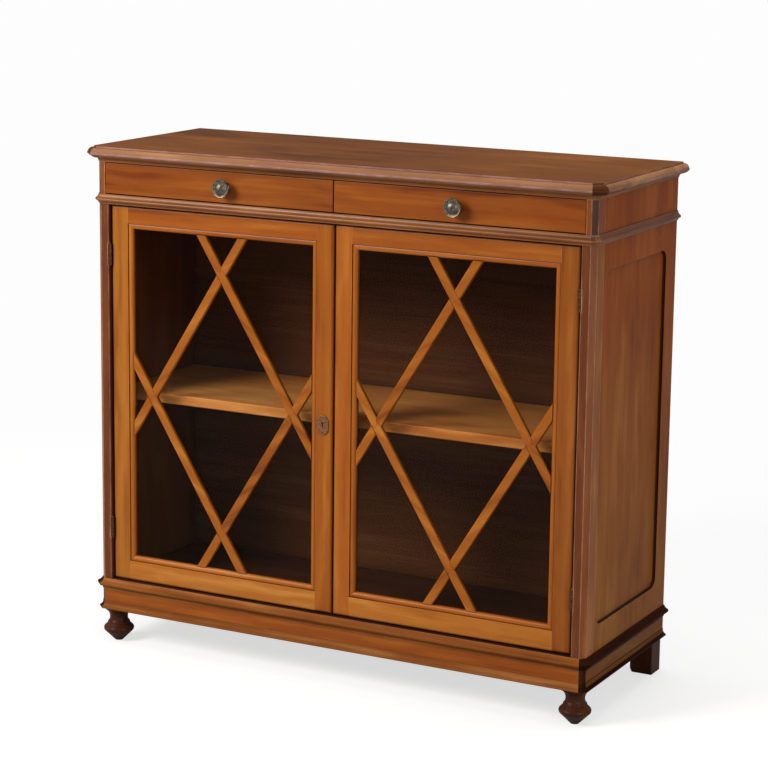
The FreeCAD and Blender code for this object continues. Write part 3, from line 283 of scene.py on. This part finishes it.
def growth(tree, fibre, shift, streak, figure):
    """The growth figure, from 0 to 1, and its middle value."""
    bands = add(tree, "ShaderNodeTexWave",
                {"wave_type": "BANDS", "bands_direction": "Y", "wave_profile": "SIN"},
                {"Vector": stretch(tree, fibre, BANDS_SCALE, shift), "Scale": 9.0, "Distortion": 7.0,
                 "Detail": 2.0, "Detail Scale": 1.4}).outputs[1]
    tone = grain_layer(tree, fibre, shift, TONE_LAYER)
    wavy = grain_layer(tree, fibre, shift, WAVY_LAYER)
    blend = math_node(tree, "MULTIPLY", tone, TONE_SHARE)
    blend = math_node(tree, "ADD", blend, math_node(tree, "MULTIPLY", wavy, WAVY_SHARE * figure))
    blend = math_node(tree, "ADD", blend, math_node(tree, "MULTIPLY", bands, BANDS_SHARE * figure))
    blend = math_node(tree, "ADD", blend, math_node(tree, "MULTIPLY", streak, STREAK_SHARE))
    total = WAVY_SHARE * figure + BANDS_SHARE * figure + STREAK_SHARE + TONE_SHARE
    return blend, 0.5 + 0.5 * (total - 1.0)


def wood_ramp(tree, blend, middle_place, palette):
    """The palette's dark, middle and light colours along the growth figure."""
    dark, middle, light = palette
    ramp = add(tree, "ShaderNodeValToRGB", None, {"Fac": blend})
    ramp.color_ramp.interpolation = "EASE"
    first, last = ramp.color_ramp.elements
    first.position = middle_place - RAMP_REACH
    first.color = dark
    last.position = middle_place + RAMP_REACH
    last.color = light
    ramp.color_ramp.elements.new(middle_place).color = middle
    return ramp.outputs["Color"]


def wear_and_highlight(tree, position, colour, strength, pale, settings):
    """Rubs the arrises pale, in patches: wear, and painted highlights along the arrises."""
    reach, least, most = settings
    edge = remap(tree, rounded_match(tree, reach), least, most, strength, 0.0)
    patches = noise(tree, position, 30.0, 2.0, 0.5, 0.0)
    edge = math_node(tree, "MULTIPLY", edge, remap(tree, patches, 0.35, 0.6, 0.35, 1.0))
    return mix_colour(tree, edge, colour, pale)


def tinted(tree, position, colour, tints):
    """Multiplies the wood by each tint, in the places where all the masks that it names meet. Most tints are
    painted light and shade.
    """
    parts = split(tree, position)
    masks = turn_masks(tree, parts) | place_masks(tree, parts)
    for where, tint in tints:
        mask = masks[where[0]]
        for other in where[1:]:
            mask = math_node(tree, "MULTIPLY", mask, masks[other])
        colour = mix_colour(tree, mask, colour, (*tint, 1.0), "MULTIPLY")
    return colour


def glaze_and_corner_shade(tree, position, colour, strength):
    """Darkens the corners, creases and gaps by ambient occlusion: painted shade, with old polish gathered
    there.
    """
    near = add(tree, "ShaderNodeAmbientOcclusion", {"samples": 4, "only_local": False},
               {"Distance": CORNER_REACH})
    hollow = remap(tree, near.outputs["AO"], 0.35, 0.92, strength, 0.0)
    smudge = noise(tree, position, 18.0, 3.0, 0.6, 0.5)
    hollow = math_node(tree, "MULTIPLY", hollow, remap(tree, smudge, 0.2, 0.6, 0.65, 1.0))
    return mix_colour(tree, hollow, colour, CORNER_SHADE_COLOUR)


def wood(name, palette, grain, seed, centre, figure, gloss, shine, glaze_and_shade, worn, rubbed_highlight, tints):
    """Polished hardwood: figure, streaks, pores, dark glaze with painted shade in the corners, pale worn
    edges with painted highlights, and tints, many of which paint light and shade.
    """
    material, tree = new_tree(name)
    position = add(tree, "ShaderNodeTexCoord").outputs["Object"]
    fibre = grain_vector(tree, position, grain, centre)
    shift = tuple(seed * part for part in SEED_SHIFT)
    streak = grain_layer(tree, fibre, shift, STREAK_LAYER)
    pores = remap(tree, grain_layer(tree, fibre, shift, PORE_LAYER), 0.60, 0.72)
    blend, middle_place = growth(tree, fibre, shift, streak, figure)
    colour = wood_ramp(tree, blend, middle_place, palette)
    shade = tuple(part * 0.45 for part in palette[0][:3]) + (1.0,)
    colour = mix_colour(tree, math_node(tree, "MULTIPLY", pores, 0.35), colour, shade)
    # The pale arrises are partly wear and partly painted highlights
    if not rubbed_highlight:
        pale = tuple(min(part * 1.5 + 0.03, 1.0) for part in palette[2][:3]) + (1.0,)
        colour = wear_and_highlight(tree, position, colour, worn, pale, BOARD_WEAR_AND_HIGHLIGHT)
    if tints:
        colour = tinted(tree, position, colour, tints)
    if glaze_and_shade:
        colour = glaze_and_corner_shade(tree, position, colour, glaze_and_shade)
    # The posts' arrises are made pale last: painted highlight, and wear
    if rubbed_highlight:
        colour = wear_and_highlight(tree, position, colour, worn, rubbed_highlight, POST_WEAR_AND_HIGHLIGHT)
    rough = remap(tree, streak, 0.25, 0.75, gloss - 0.05, gloss + 0.07)
    rough = math_node(tree, "ADD", rough, math_node(tree, "MULTIPLY", pores, 0.12))
    ridges = math_node(tree, "MULTIPLY", streak, 0.35)
    height = math_node(tree, "ADD", ridges, math_node(tree, "MULTIPLY", pores, -0.5))
    bump = add(tree, "ShaderNodeBump", None, {"Strength": 0.22, "Distance": GRAIN_DEPTH, "Height": height})
    shader = add(tree, "ShaderNodeBsdfPrincipled", None,
                 {"Base Color": colour, "Roughness": rough, "Normal": bump.outputs[0],
                  "Specular IOR Level": shine})
    finish_tree(tree, shader.outputs[0])
    return material


# Metal and glass
METAL_SCALE = 260.0
METAL_ROUGH = 0.38
METAL_CORNER = 0.006
METAL_EDGE = 0.0008
METAL_DEPTH = 0.0003
PANE_COLOUR = (0.95, 0.97, 0.96, 1.0)


def metal(name, base, worn, tarnish):
    """Old cast or rolled metal with tarnish in its hollows and rubbed edges."""
    material, tree = new_tree(name)
    position = add(tree, "ShaderNodeTexCoord").outputs["Object"]
    cloud = noise(tree, position, METAL_SCALE, 4.0, 0.6, 0.4)
    fine = noise(tree, position, METAL_SCALE * 5, 3.0, 0.6, 0.0)
    colour = mix_colour(tree, remap(tree, cloud, 0.35, 0.65), tarnish, base)
    near = add(tree, "ShaderNodeAmbientOcclusion", {"samples": 4}, {"Distance": METAL_CORNER})
    hollow = remap(tree, near.outputs["AO"], 0.4, 0.95, 0.8, 0.0)
    colour = mix_colour(tree, hollow, colour, tuple(part * 0.25 for part in tarnish[:3]) + (1.0,))
    edge = remap(tree, rounded_match(tree, METAL_EDGE), 0.85, 0.99, 0.8, 0.0)
    colour = mix_colour(tree, edge, colour, worn)
    rough = remap(tree, cloud, 0.3, 0.7, METAL_ROUGH - 0.08, METAL_ROUGH + 0.14)
    bump = add(tree, "ShaderNodeBump", None, {"Strength": 0.3, "Distance": METAL_DEPTH, "Height": fine})
    shader = add(tree, "ShaderNodeBsdfPrincipled", None,
                 {"Base Color": colour, "Metallic": 0.9, "Roughness": rough, "Normal": bump.outputs[0]})
    finish_tree(tree, shader.outputs[0])
    return material


def pane(name):
    """Clear window glass that lets lamps through, and lets what is behind it see the room."""
    material, tree = new_tree(name)
    glass = add(tree, "ShaderNodeBsdfPrincipled", None,
                {"Base Color": PANE_COLOUR, "Roughness": 0.0, "IOR": 1.15, "Transmission Weight": 1.0})
    clear = add(tree, "ShaderNodeBsdfTransparent", None, {"Color": PANE_COLOUR})
    path = add(tree, "ShaderNodeLightPath")
    passing = math_node(tree, "MAXIMUM", path.outputs["Is Shadow Ray"], path.outputs["Is Diffuse Ray"])
    passing = math_node(tree, "MAXIMUM", passing, path.outputs["Is Glossy Ray"])
    mix = add(tree, "ShaderNodeMixShader", None, {0: passing, 1: glass.outputs[0], 2: clear.outputs[0]})
    finish_tree(tree, mix.outputs[0])
    return material


# Wood colours: dark, middle, light
FRAME = (srgb(138, 64, 12), srgb(168, 90, 22), srgb(188, 112, 40))
DRAWER = (srgb(112, 46, 8), srgb(146, 72, 16), srgb(166, 90, 26))
TOP = (srgb(82, 42, 9), srgb(109, 60, 15), srgb(132, 77, 23))
SIDE = (srgb(132, 64, 20), srgb(162, 86, 32), srgb(184, 110, 50))
TRIM = (srgb(98, 50, 18), srgb(136, 78, 34), srgb(166, 106, 56))
POST = (srgb(78, 34, 16), srgb(106, 54, 26), srgb(130, 74, 40))
FOOT = (srgb(42, 18, 8), srgb(68, 33, 17), srgb(94, 52, 29))
LATTICE = (srgb(126, 60, 12), srgb(164, 90, 22), srgb(188, 116, 38))
INNER = (srgb(40, 20, 10), srgb(62, 32, 17), srgb(86, 50, 27))
BACKING = (srgb(66, 35, 19), srgb(94, 54, 30), srgb(120, 74, 44))
SHELF = (srgb(180, 98, 38), srgb(212, 132, 64), srgb(232, 160, 92))
RAW = (srgb(150, 104, 62), srgb(184, 138, 90), srgb(206, 166, 118))

# Palette and grain direction of each wooden node
WOODEN = {
    "top_board": (TOP, "X"), "back_panel": (BACKING, "X"), "shelf": (SHELF, "X"),
    "cornice": (TRIM, "round"), "mid_moulding": (TRIM, "round"),
    "lower_moulding": (TRIM, "round"), "base_moulding": (TRIM, "round"),
    "post_left": (POST, "Z"), "post_right": (POST, "Z"),
    "side_left": (SIDE, "Z"), "side_right": (SIDE, "Z"),
    "bottom_board": (INNER, "X"), "dust_board": (INNER, "X"), "door_stops": (INNER, "X"),
    "back_rail": (RAW, "X"), "drawer_divider": (RAW, "Y"),
    "plinth_front": (DRAWER, "X"), "plinth_sides": (SIDE, "Y"), "plinth_back": (RAW, "X"),
    "corner_blocks": (RAW, "Z"), "rear_feet": (FOOT, "Z"),
    "front_foot_left": (FOOT, "Z"), "front_foot_right": (FOOT, "Z"),
}
for door in ("left_door_", "right_door_"):
    WOODEN[door + "hinge_stile"] = (FRAME, "Z")
    WOODEN[door + "meeting_stile"] = (FRAME, "Z")
    WOODEN[door + "top_rail"] = (FRAME, "X")
    WOODEN[door + "bottom_rail"] = (FRAME, "X")
    WOODEN[door + "front_bead"] = (FRAME, "strips")
    WOODEN[door + "back_bead"] = (INNER, "strips")
    WOODEN[door + "lattice"] = (LATTICE, "bars")
for drawer in ("left_drawer_", "right_drawer_"):
    WOODEN[drawer + "front"] = (DRAWER, "X")
    WOODEN[drawer + "sides"] = (RAW, "Y")
    WOODEN[drawer + "back"] = (RAW, "X")
    WOODEN[drawer + "bottom"] = (RAW, "X")

# Tints of places on some nodes: the masks that say where, and what the wood is multiplied by. Most of them
# paint light and shade by which way a face looks.
# Painted shade: near black on the cants, and dark brown on the side runs, ledges and rears of the low
# mouldings
PAINTED_DEEP_SHADE = (0.12, 0.10, 0.11)
PAINTED_SHADE = (0.15, 0.08, 0.05)
LOWER_TINTS = [
    (("cant",), PAINTED_DEEP_SHADE), (("flank",), PAINTED_SHADE), (("ledge",), PAINTED_SHADE), (("rear",), PAINTED_SHADE),
]
# The base moulding's side run: painted shade on its lower nose half, lighter on its upper cove half
BASE_TINTS = [
    (("cant",), PAINTED_DEEP_SHADE), (("flank", "nose"), PAINTED_SHADE), (("flank", "cove_run"), (0.9, 0.95, 0.8)),
    (("ledge",), PAINTED_SHADE), (("rear",), PAINTED_SHADE),
]
# The side boards: inner faces and faces that don't look sideways, such as the field's recess walls, darkened
# as painted shade; redder above and more olive below
SIDE_TINTS = [
    (("inside",), (0.30, 0.26, 0.26)), (("high",), (0.95, 0.78, 0.80)), (("low",), (0.92, 1.18, 1.15)),
    (("cove",), PAINTED_DEEP_SHADE),
]
# The posts: the chamfer lightened below the frieze and darkened within it, painted light and shade; the
# flank lightened to the side boards' colour, and the front in the frieze toned like the drawers
POST_TINTS = [
    (("cant",), (2.1, 2.4, 2.4)), (("cant", "frieze"), (0.30, 0.26, 0.26)),
    (("flank",), (2.3, 2.6, 1.9)), (("flank", "frieze"), (0.95, 0.78, 0.80)),
    (("front", "frieze"), (1.6, 1.5, 0.6)),
]
# The top board: its nose made paler and greyer on the front and side runs, a painted highlight, and its
# canted corners darker, painted shade
TOP_TINTS = [
    (("front",), (1.85, 2.9, 13.0)), (("cant",), (0.7, 0.75, 2.5)), (("flank",), (2.0, 3.2, 14.0)),
]
# Painted light: the cornice's and the rear feet's flanks lightened. Painted shade: the mid moulding's side
# run tinted purple-grey. The plinth sides' flanks are darker and more olive.
TINTS = {
    "top_board": TOP_TINTS,
    "cornice": [(("flank",), (1.1, 1.0, 0.9))],
    "mid_moulding": [(("flank",), (0.90, 0.85, 1.05))],
    "lower_moulding": LOWER_TINTS,
    "base_moulding": BASE_TINTS,
    "plinth_front": [(("cant",), PAINTED_DEEP_SHADE)],
    "plinth_sides": [(("cant",), PAINTED_DEEP_SHADE), (("flank",), (0.66, 0.86, 0.78))],
    "side_left": SIDE_TINTS,
    "side_right": SIDE_TINTS,
    "post_left": POST_TINTS,
    "post_right": POST_TINTS,
    "rear_feet": [(("flank",), (1.5, 1.5, 1.7))],
    "back_panel": [(("rear",), (1.15, 1.1, 1.05))],
}

# Polish, corner glaze with painted shade, and edge wear with painted highlights, of the nodes that differ
# from the rest
SHINE = {
    "side_left": 0.05, "side_right": 0.05, "plinth_sides": 0.05, "mid_moulding": 0.3,
    "lower_moulding": 0.02, "base_moulding": 0.02, "top_board": 0.012, "post_left": 0.15,
    "post_right": 0.15, "shelf": 0.1, "back_panel": 0.05, "bottom_board": 0.1,
    "front_foot_left": 0.12, "front_foot_right": 0.12, "rear_feet": 0.08,
}
# How strongly corners and creases are darkened: painted shade, with old polish
GLAZE_AND_CORNER_SHADE = {
    "top_board": 0.0, "cornice": 0.35, "post_left": 0.55, "post_right": 0.55, "lower_moulding": 0.4,
    "bottom_board": 0.4, "left_door_bottom_rail": 0.45, "right_door_bottom_rail": 0.45,
}
# How strongly the arrises are made pale: wear, and painted highlights on the posts, the top board and the
# mouldings
WORN_AND_HIGHLIT = {
    "post_left": 0.9, "post_right": 0.9, "top_board": 0.9, "mid_moulding": 0.7, "lower_moulding": 0.7,
    "base_moulding": 0.6,
}
# The posts' pale pinkish arrises are painted highlights along the chamfer, as well as wear
RUBBED_HIGHLIGHT_COLOUR = srgb(206, 158, 126)
RUBBED_HIGHLIGHT = {"post_left": RUBBED_HIGHLIGHT_COLOUR, "post_right": RUBBED_HIGHLIGHT_COLOUR}
FIGURE = {"back_panel": 0.25}

# Tone of single boards against their palette
TONES = {
    "left_door_hinge_stile": (1.03, 1.3, 1.6), "left_door_meeting_stile": (0.9, 0.9, 0.75),
    "right_door_hinge_stile": (0.76, 0.78, 0.9), "left_door_top_rail": (0.87, 0.82, 0.75),
    "right_door_top_rail": (0.85, 0.8, 0.8), "left_door_bottom_rail": (1.15, 1.4, 2.0),
    "right_door_bottom_rail": (1.2, 1.5, 2.2), "left_drawer_front": (0.9, 0.92, 0.85),
    "right_drawer_front": (0.95, 0.97, 0.85),
}
PLAIN_TONE = (1.0, 1.0, 1.0)
PLAIN_SHINE = 0.2
PLAIN_WORN_AND_HIGHLIT = 0.5
POLISHED_GLOSS = 0.34
RAW_GLOSS = 0.62
POLISHED_GLAZE_AND_SHADE = 0.7
RAW_GLAZE_AND_SHADE = 0.35
SEED_STEP = 1.37

# Half the width and height of the lattice's diamond, in metres
LATTICE_RUN = 0.15825
LATTICE_RISE = 0.2555


def cover(name, material):
    """Gives one CAD node its material."""
    node = nodes[name]
    if not node.material_slots:
        node.data.materials.append(material)
    for entry in node.material_slots:
        entry.material = material


def grain_centre(name, grain):
    """Where a door's bead strips or lattice bars lie: the middle, then half sizes or slope and rise."""
    if grain not in ("strips", "bars"):
        return None
    low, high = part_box(name.split("_")[0] + "_door_front_bead")
    middle = ((low.x + high.x) / 2, (low.z + high.z) / 2)
    if grain == "bars":
        return (*middle, LATTICE_RISE / LATTICE_RUN, LATTICE_RISE)
    return (*middle, (high.x - low.x) / 2, (high.z - low.z) / 2)


def cover_wood():
    for number, (name, (palette, grain)) in enumerate(sorted(WOODEN.items())):
        raw = palette is RAW
        tone = (*TONES.get(name, PLAIN_TONE), 1.0)
        toned = [tuple(part * share for part, share in zip(colour, tone)) for colour in palette]
        cover(name, wood(
            "wood_" + name, toned, grain,
            seed=number * SEED_STEP,
            centre=grain_centre(name, grain),
            figure=FIGURE.get(name, 1.0),
            gloss=RAW_GLOSS if raw else POLISHED_GLOSS,
            shine=SHINE.get(name, PLAIN_SHINE),
            glaze_and_shade=GLAZE_AND_CORNER_SHADE.get(name, RAW_GLAZE_AND_SHADE if raw else POLISHED_GLAZE_AND_SHADE),
            worn=WORN_AND_HIGHLIT.get(name, PLAIN_WORN_AND_HIGHLIT),
            rubbed_highlight=RUBBED_HIGHLIGHT.get(name),
            tints=TINTS.get(name, ()),
        ))


# Metal colours: base, worn, tarnish
bronze = metal("bronze", srgb(134, 124, 108), srgb(214, 206, 198), srgb(60, 53, 46))
plate = metal("key_plate_bronze", srgb(166, 116, 78), srgb(205, 158, 122), srgb(112, 70, 44))
brass = metal("hinge_brass", srgb(112, 78, 44), srgb(160, 120, 76), srgb(60, 38, 22))
steel = metal("steel", srgb(120, 120, 118), srgb(180, 180, 176), srgb(74, 72, 68))
# The slot floors' dark colour is painted shade, which these shallow slots don't cast
slot_dark = metal("screw_slot", srgb(46, 38, 30), srgb(70, 60, 50), srgb(24, 20, 16))


def cover_rest():
    """Metal and glass on every node that isn't wood."""
    for name in nodes:
        if name.endswith("knob"):
            cover(name, bronze)
        elif name.endswith("key_plate"):
            cover(name, plate)
        elif "hinge" in name and name not in WOODEN:
            cover(name, brass)
        elif name.endswith("glass"):
            cover(name, pane("pane_" + name))
        elif name not in WOODEN:
            cover(name, steel)


cover_wood()
cover_rest()

# Smooth shading with crisp edges, which moves no vertex
CRISP_FROM = math.radians(28)
for node in nodes.values():
    for face in node.data.polygons:
        face.use_smooth = True
    node.data.set_sharp_from_angle(angle=CRISP_FROM)

# Small screws: heights above and below the face that they are sunk in, and the slot, in metres
SCREW_RISE = 0.00018
SCREW_SUNK = 0.0004
SLOT_FLOOR = 0.00003
SLOT_SHARE = 0.2
RIM_STEPS = 10
TURN_STEP = 2.4
BACK_SCREW_RADIUS = 0.0032
LEAF_SCREW_RADIUS = 0.0026
BOLT_SCREW_RADIUS = 0.0021
KEY_SCREW_RADIUS = 0.0013

# Places of the back panel's screws, from its edges
BACK_SIDE_INSET = 0.005
BACK_FIRST = 0.030
BACK_PITCH = 0.164
BACK_SIDE_COUNT = 6
BACK_FOOT_INSET = 0.009
BACK_HEAD_INSET = 0.026
BACK_ROW = (-0.4, -0.2, 0.0, 0.2, 0.4)

# Places of the screws on a hinge leaf: up from its foot, and forward of its rear edge
LEAF_LENGTH = 0.040
LEAF_GAP = 0.0003
LEAF_PLACES = ((0.007, 0.0045), (0.020, 0.0115), (0.033, 0.0045))
KEY_INSET = 0.0035
BOLT_PLATE_THICK = 0.002
BOLT_SIDE_INSET = 0.003
BOLT_END_INSET = 0.018


def add_screw(mesh, centre, outward, turn, radius):
    """One slotted head, closed all round, standing a hair proud of what it holds."""
    outward = Vector(outward)
    first = outward.orthogonal().normalized()
    second = outward.cross(first)
    right = math.cos(turn) * first + math.sin(turn) * second
    up = outward.cross(right)

    def corner(angle, level):
        reach = math.cos(angle) * right + math.sin(angle) * up
        return mesh.verts.new(Vector(centre) + radius * reach + level * outward)

    half = math.asin(SLOT_SHARE)
    span = math.pi - 2 * half
    ring = []
    floor_corners = []
    for start in (0.0, math.pi):
        angles = [start + half + span * step / RIM_STEPS for step in range(RIM_STEPS + 1)]
        high = [corner(angle, SCREW_RISE) for angle in angles]
        low = [corner(angle, -SCREW_SUNK) for angle in angles]
        near = corner(angles[0], SLOT_FLOOR)
        far = corner(angles[-1], SLOT_FLOOR)
        mesh.faces.new(high)
        mesh.faces.new((high[-1], high[0], near, far)).material_index = 1
        for step in range(RIM_STEPS):
            wall = [high[step], high[step + 1], low[step + 1], low[step]]
            if step == 0:
                wall.append(near)
            if step == RIM_STEPS - 1:
                wall.insert(2, far)
            mesh.faces.new(wall)
        ring += low
        floor_corners += [near, far]
    mesh.faces.new(floor_corners).material_index = 1
    mesh.faces.new(ring)
    count = len(ring) // 2
    mesh.faces.new((floor_corners[1], floor_corners[2], ring[count], ring[count - 1]))
    mesh.faces.new((floor_corners[3], floor_corners[0], ring[0], ring[-1]))


def screws(name, body, heads, material):
    """A set of screws on one body: (centre, outward, radius) of each head."""
    mesh = bmesh.new()
    for number, (centre, outward, radius) in enumerate(heads):
        add_screw(mesh, centre, outward, number * TURN_STEP, radius)
    bmesh.ops.recalc_face_normals(mesh, faces=mesh.faces)
    data = bpy.data.meshes.new(name)
    mesh.to_mesh(data)
    mesh.free()
    data.materials.append(material)
    data.materials.append(slot_dark)
    item = bpy.data.objects.new(name, data)
    bpy.context.scene.collection.objects.link(item)
    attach(item, body)


def back_heads():
    """A column of screws up each side of the back panel, and a row along its foot and its head."""
    low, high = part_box("back_panel")
    heads = []
    for x in (low.x + BACK_SIDE_INSET, high.x - BACK_SIDE_INSET):
        for step in range(BACK_SIDE_COUNT):
            heads.append(((x, high.y, low.z + BACK_FIRST + BACK_PITCH * step), (0, 1, 0), BACK_SCREW_RADIUS))
    for z in (low.z + BACK_FOOT_INSET, high.z - BACK_HEAD_INSET):
        for x in BACK_ROW:
            heads.append(((x, high.y, z), (0, 1, 0), BACK_SCREW_RADIUS))
    return heads


def hinge_heads(door, leaf, outward):
    """Three heads on each leaf of a door's hinges, on the side of the pin that the leaf lies on."""
    low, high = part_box(door + "_hinge_leaves")
    pins_low, pins_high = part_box(door + "_hinge_pins")
    face = (pins_low.x + pins_high.x) / 2 + leaf
    heads = []
    for foot in (low.z, high.z - LEAF_LENGTH):
        for along, back in LEAF_PLACES:
            heads.append(((face, high.y - back, foot + along), (outward, 0, 0), LEAF_SCREW_RADIUS))
    return heads


def key_plate_heads():
    low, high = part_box("left_door_key_plate")
    middle = (low.x + high.x) / 2
    levels = (low.z + KEY_INSET, high.z - KEY_INSET)
    return [((middle, low.y, z), (0, -1, 0), KEY_SCREW_RADIUS) for z in levels]


def bolt_plate_heads():
    low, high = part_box("right_door_bolt_plate")
    face = low.y + BOLT_PLATE_THICK
    heads = []
    for x in (low.x + BOLT_SIDE_INSET, high.x - BOLT_SIDE_INSET):
        for z in (low.z + BOLT_END_INSET, high.z - BOLT_END_INSET):
            heads.append(((x, face, z), (0, 1, 0), BOLT_SCREW_RADIUS))
    return heads


post_heads = hinge_heads("left_door", -LEAF_GAP, 1) + hinge_heads("right_door", LEAF_GAP, -1)
left_heads = hinge_heads("left_door", LEAF_GAP, -1) + key_plate_heads()
right_heads = hinge_heads("right_door", -LEAF_GAP, 1) + bolt_plate_heads()
screws("back_panel_screws", "carcass", back_heads(), steel)
screws("post_hinge_screws", "carcass", post_heads, brass)
screws("left_door_screws", "left_door", left_heads, brass)
screws("right_door_screws", "right_door", right_heads, brass)

# Floor and backdrop, which look pale to the eye and light the object no more than plainly
FLOOR_GLOW = 0.66
POLISH_SHARE = 0.12
FLOOR_REACH = 30.0
WHITE_FROM = 0.9
WHITE_BY = 2.6
ROOM_LIGHT = 0.2


def grey(level):
    return (level, level, level, 1.0)


def seen_rays(tree):
    """1 for rays that see the pale room straight or through glass, and a share of it for polish."""
    path = add(tree, "ShaderNodeLightPath")
    straight = math_node(tree, "MAXIMUM", path.outputs["Is Camera Ray"], path.outputs["Is Transmission Ray"])
    polish = math_node(tree, "MULTIPLY", path.outputs["Is Glossy Ray"], POLISH_SHARE)
    return math_node(tree, "MAXIMUM", straight, polish)


def floor_material():
    """A matt floor that keeps the shadow near the object and turns white farther out."""
    material, tree = new_tree("pale_floor")
    position = add(tree, "ShaderNodeTexCoord").outputs["Object"]
    cloud = noise(tree, position, 1.5, 2.0)
    colour = mix_colour(tree, remap(tree, cloud, 0.3, 0.7), grey(0.44), grey(0.46))
    shader = add(tree, "ShaderNodeBsdfPrincipled", None, {"Base Color": colour, "Roughness": 0.85})
    seen = seen_rays(tree)
    glow = add(tree, "ShaderNodeEmission", None,
               {"Color": grey(1.0), "Strength": math_node(tree, "MULTIPLY", seen, FLOOR_GLOW)})
    both = add(tree, "ShaderNodeAddShader", None, {0: shader.outputs[0], 1: glow.outputs[0]})
    white = add(tree, "ShaderNodeEmission", None, {"Color": grey(0.985), "Strength": 1.0})
    far = add(tree, "ShaderNodeVectorMath", {"operation": "LENGTH"}, {0: position}).outputs[1]
    beyond = math_node(tree, "MULTIPLY", remap(tree, far, WHITE_FROM, WHITE_BY), seen)
    mix = add(tree, "ShaderNodeMixShader", None, {0: beyond, 1: both.outputs[0], 2: white.outputs[0]})
    finish_tree(tree, mix.outputs[0])
    return material


def floor():
    corners = [(x * FLOOR_REACH, y * FLOOR_REACH, 0) for x, y in ((-1, -1), (1, -1), (1, 1), (-1, 1))]
    mesh = bpy.data.meshes.new("floor")
    mesh.from_pydata(corners, [], [(0, 1, 2, 3)])
    mesh.materials.append(floor_material())
    item = bpy.data.objects.new("floor", mesh)
    bpy.context.scene.collection.objects.link(item)


def world():
    item = bpy.data.worlds.new("studio")
    item.use_nodes = True
    bpy.context.scene.world = item
    tree = item.node_tree
    tree.nodes.clear()
    light = add(tree, "ShaderNodeBackground", None, {"Color": grey(1.0), "Strength": ROOM_LIGHT})
    pale = add(tree, "ShaderNodeBackground", None, {"Color": grey(0.97), "Strength": 1.0})
    mix = add(tree, "ShaderNodeMixShader", None,
              {0: seen_rays(tree), 1: light.outputs[0], 2: pale.outputs[0]})
    output = tree.nodes.new("ShaderNodeOutputWorld")
    tree.links.new(mix.outputs[0], output.inputs["Surface"])


# Lamps: name, place, what it looks at, size, power and colour
LAMPS = (
    ("key", (-1.9, -2.7, 2.5), (0, 0, 0.6), 1.6, 125, (1.0, 0.98, 0.95)),
    ("fill", (3.4, -2.2, 1.8), (0, 0, 0.5), 2.4, 34, (1.0, 0.98, 0.96)),
    ("top", (0.3, 0.4, 3.6), (0, 0, 0.8), 2.2, 60, (1.0, 1.0, 1.0)),
    ("rim", (3.3, -1.7, 0.9), (0.4, 0, 0.5), 0.35, 20, (1.0, 0.96, 0.92)),
)
RIM_HEIGHT = 2.0


def lamp(name, place, target, size, power, colour):
    data = bpy.data.lights.new(name, "AREA")
    data.energy = power
    data.color = colour
    data.size = size
    item = bpy.data.objects.new(name, data)
    bpy.context.scene.collection.objects.link(item)
    item.location = place
    item.rotation_mode = "QUATERNION"
    item.rotation_quaternion = (Vector(target) - Vector(place)).to_track_quat("-Z", "Y")
    return item


def add_lamps():
    """The lamps. The rim lamp is a tall strip that only the polish shows."""
    lamps = {row[0]: lamp(*row) for row in LAMPS}
    lamps["rim"].data.shape = "RECTANGLE"
    lamps["rim"].data.size_y = RIM_HEIGHT
    lamps["rim"].visible_diffuse = False


# Camera, solved from the long edges: angles in degrees, place in metres, focal length in pixels
CAMERA_TURN = (27.644, 11.019, 0.706)
CAMERA_PLACE = (2.1618, -4.1017, 1.5334)
FOCAL_PIXELS = 2431.9
IMAGE_PIXELS = 768
SENSOR = 36.0
SHIFT_Y = -0.05
FARTHEST = 100


def camera():
    data = bpy.data.cameras.new("camera")
    item = bpy.data.objects.new("camera", data)
    bpy.context.scene.collection.objects.link(item)
    yaw, pitch, roll = (math.radians(angle) for angle in CAMERA_TURN)
    data.sensor_width = SENSOR
    data.lens = FOCAL_PIXELS / IMAGE_PIXELS * SENSOR
    data.shift_y = SHIFT_Y
    data.clip_end = FARTHEST
    level = math.cos(pitch)
    forward = Vector((-math.sin(yaw) * level, math.cos(yaw) * level, -math.sin(pitch)))
    right = Vector((math.cos(yaw), math.sin(yaw), 0))
    up = right.cross(forward)
    turned_right = math.cos(roll) * right + math.sin(roll) * up
    turned_up = math.cos(roll) * up - math.sin(roll) * right
    turn = Matrix((turned_right, turned_up, -forward)).transposed().to_4x4()
    item.matrix_world = Matrix.Translation(CAMERA_PLACE) @ turn
    bpy.context.scene.camera = item


floor()
world()
camera()
add_lamps()
bpy.context.scene.view_settings.view_transform = "Standard"
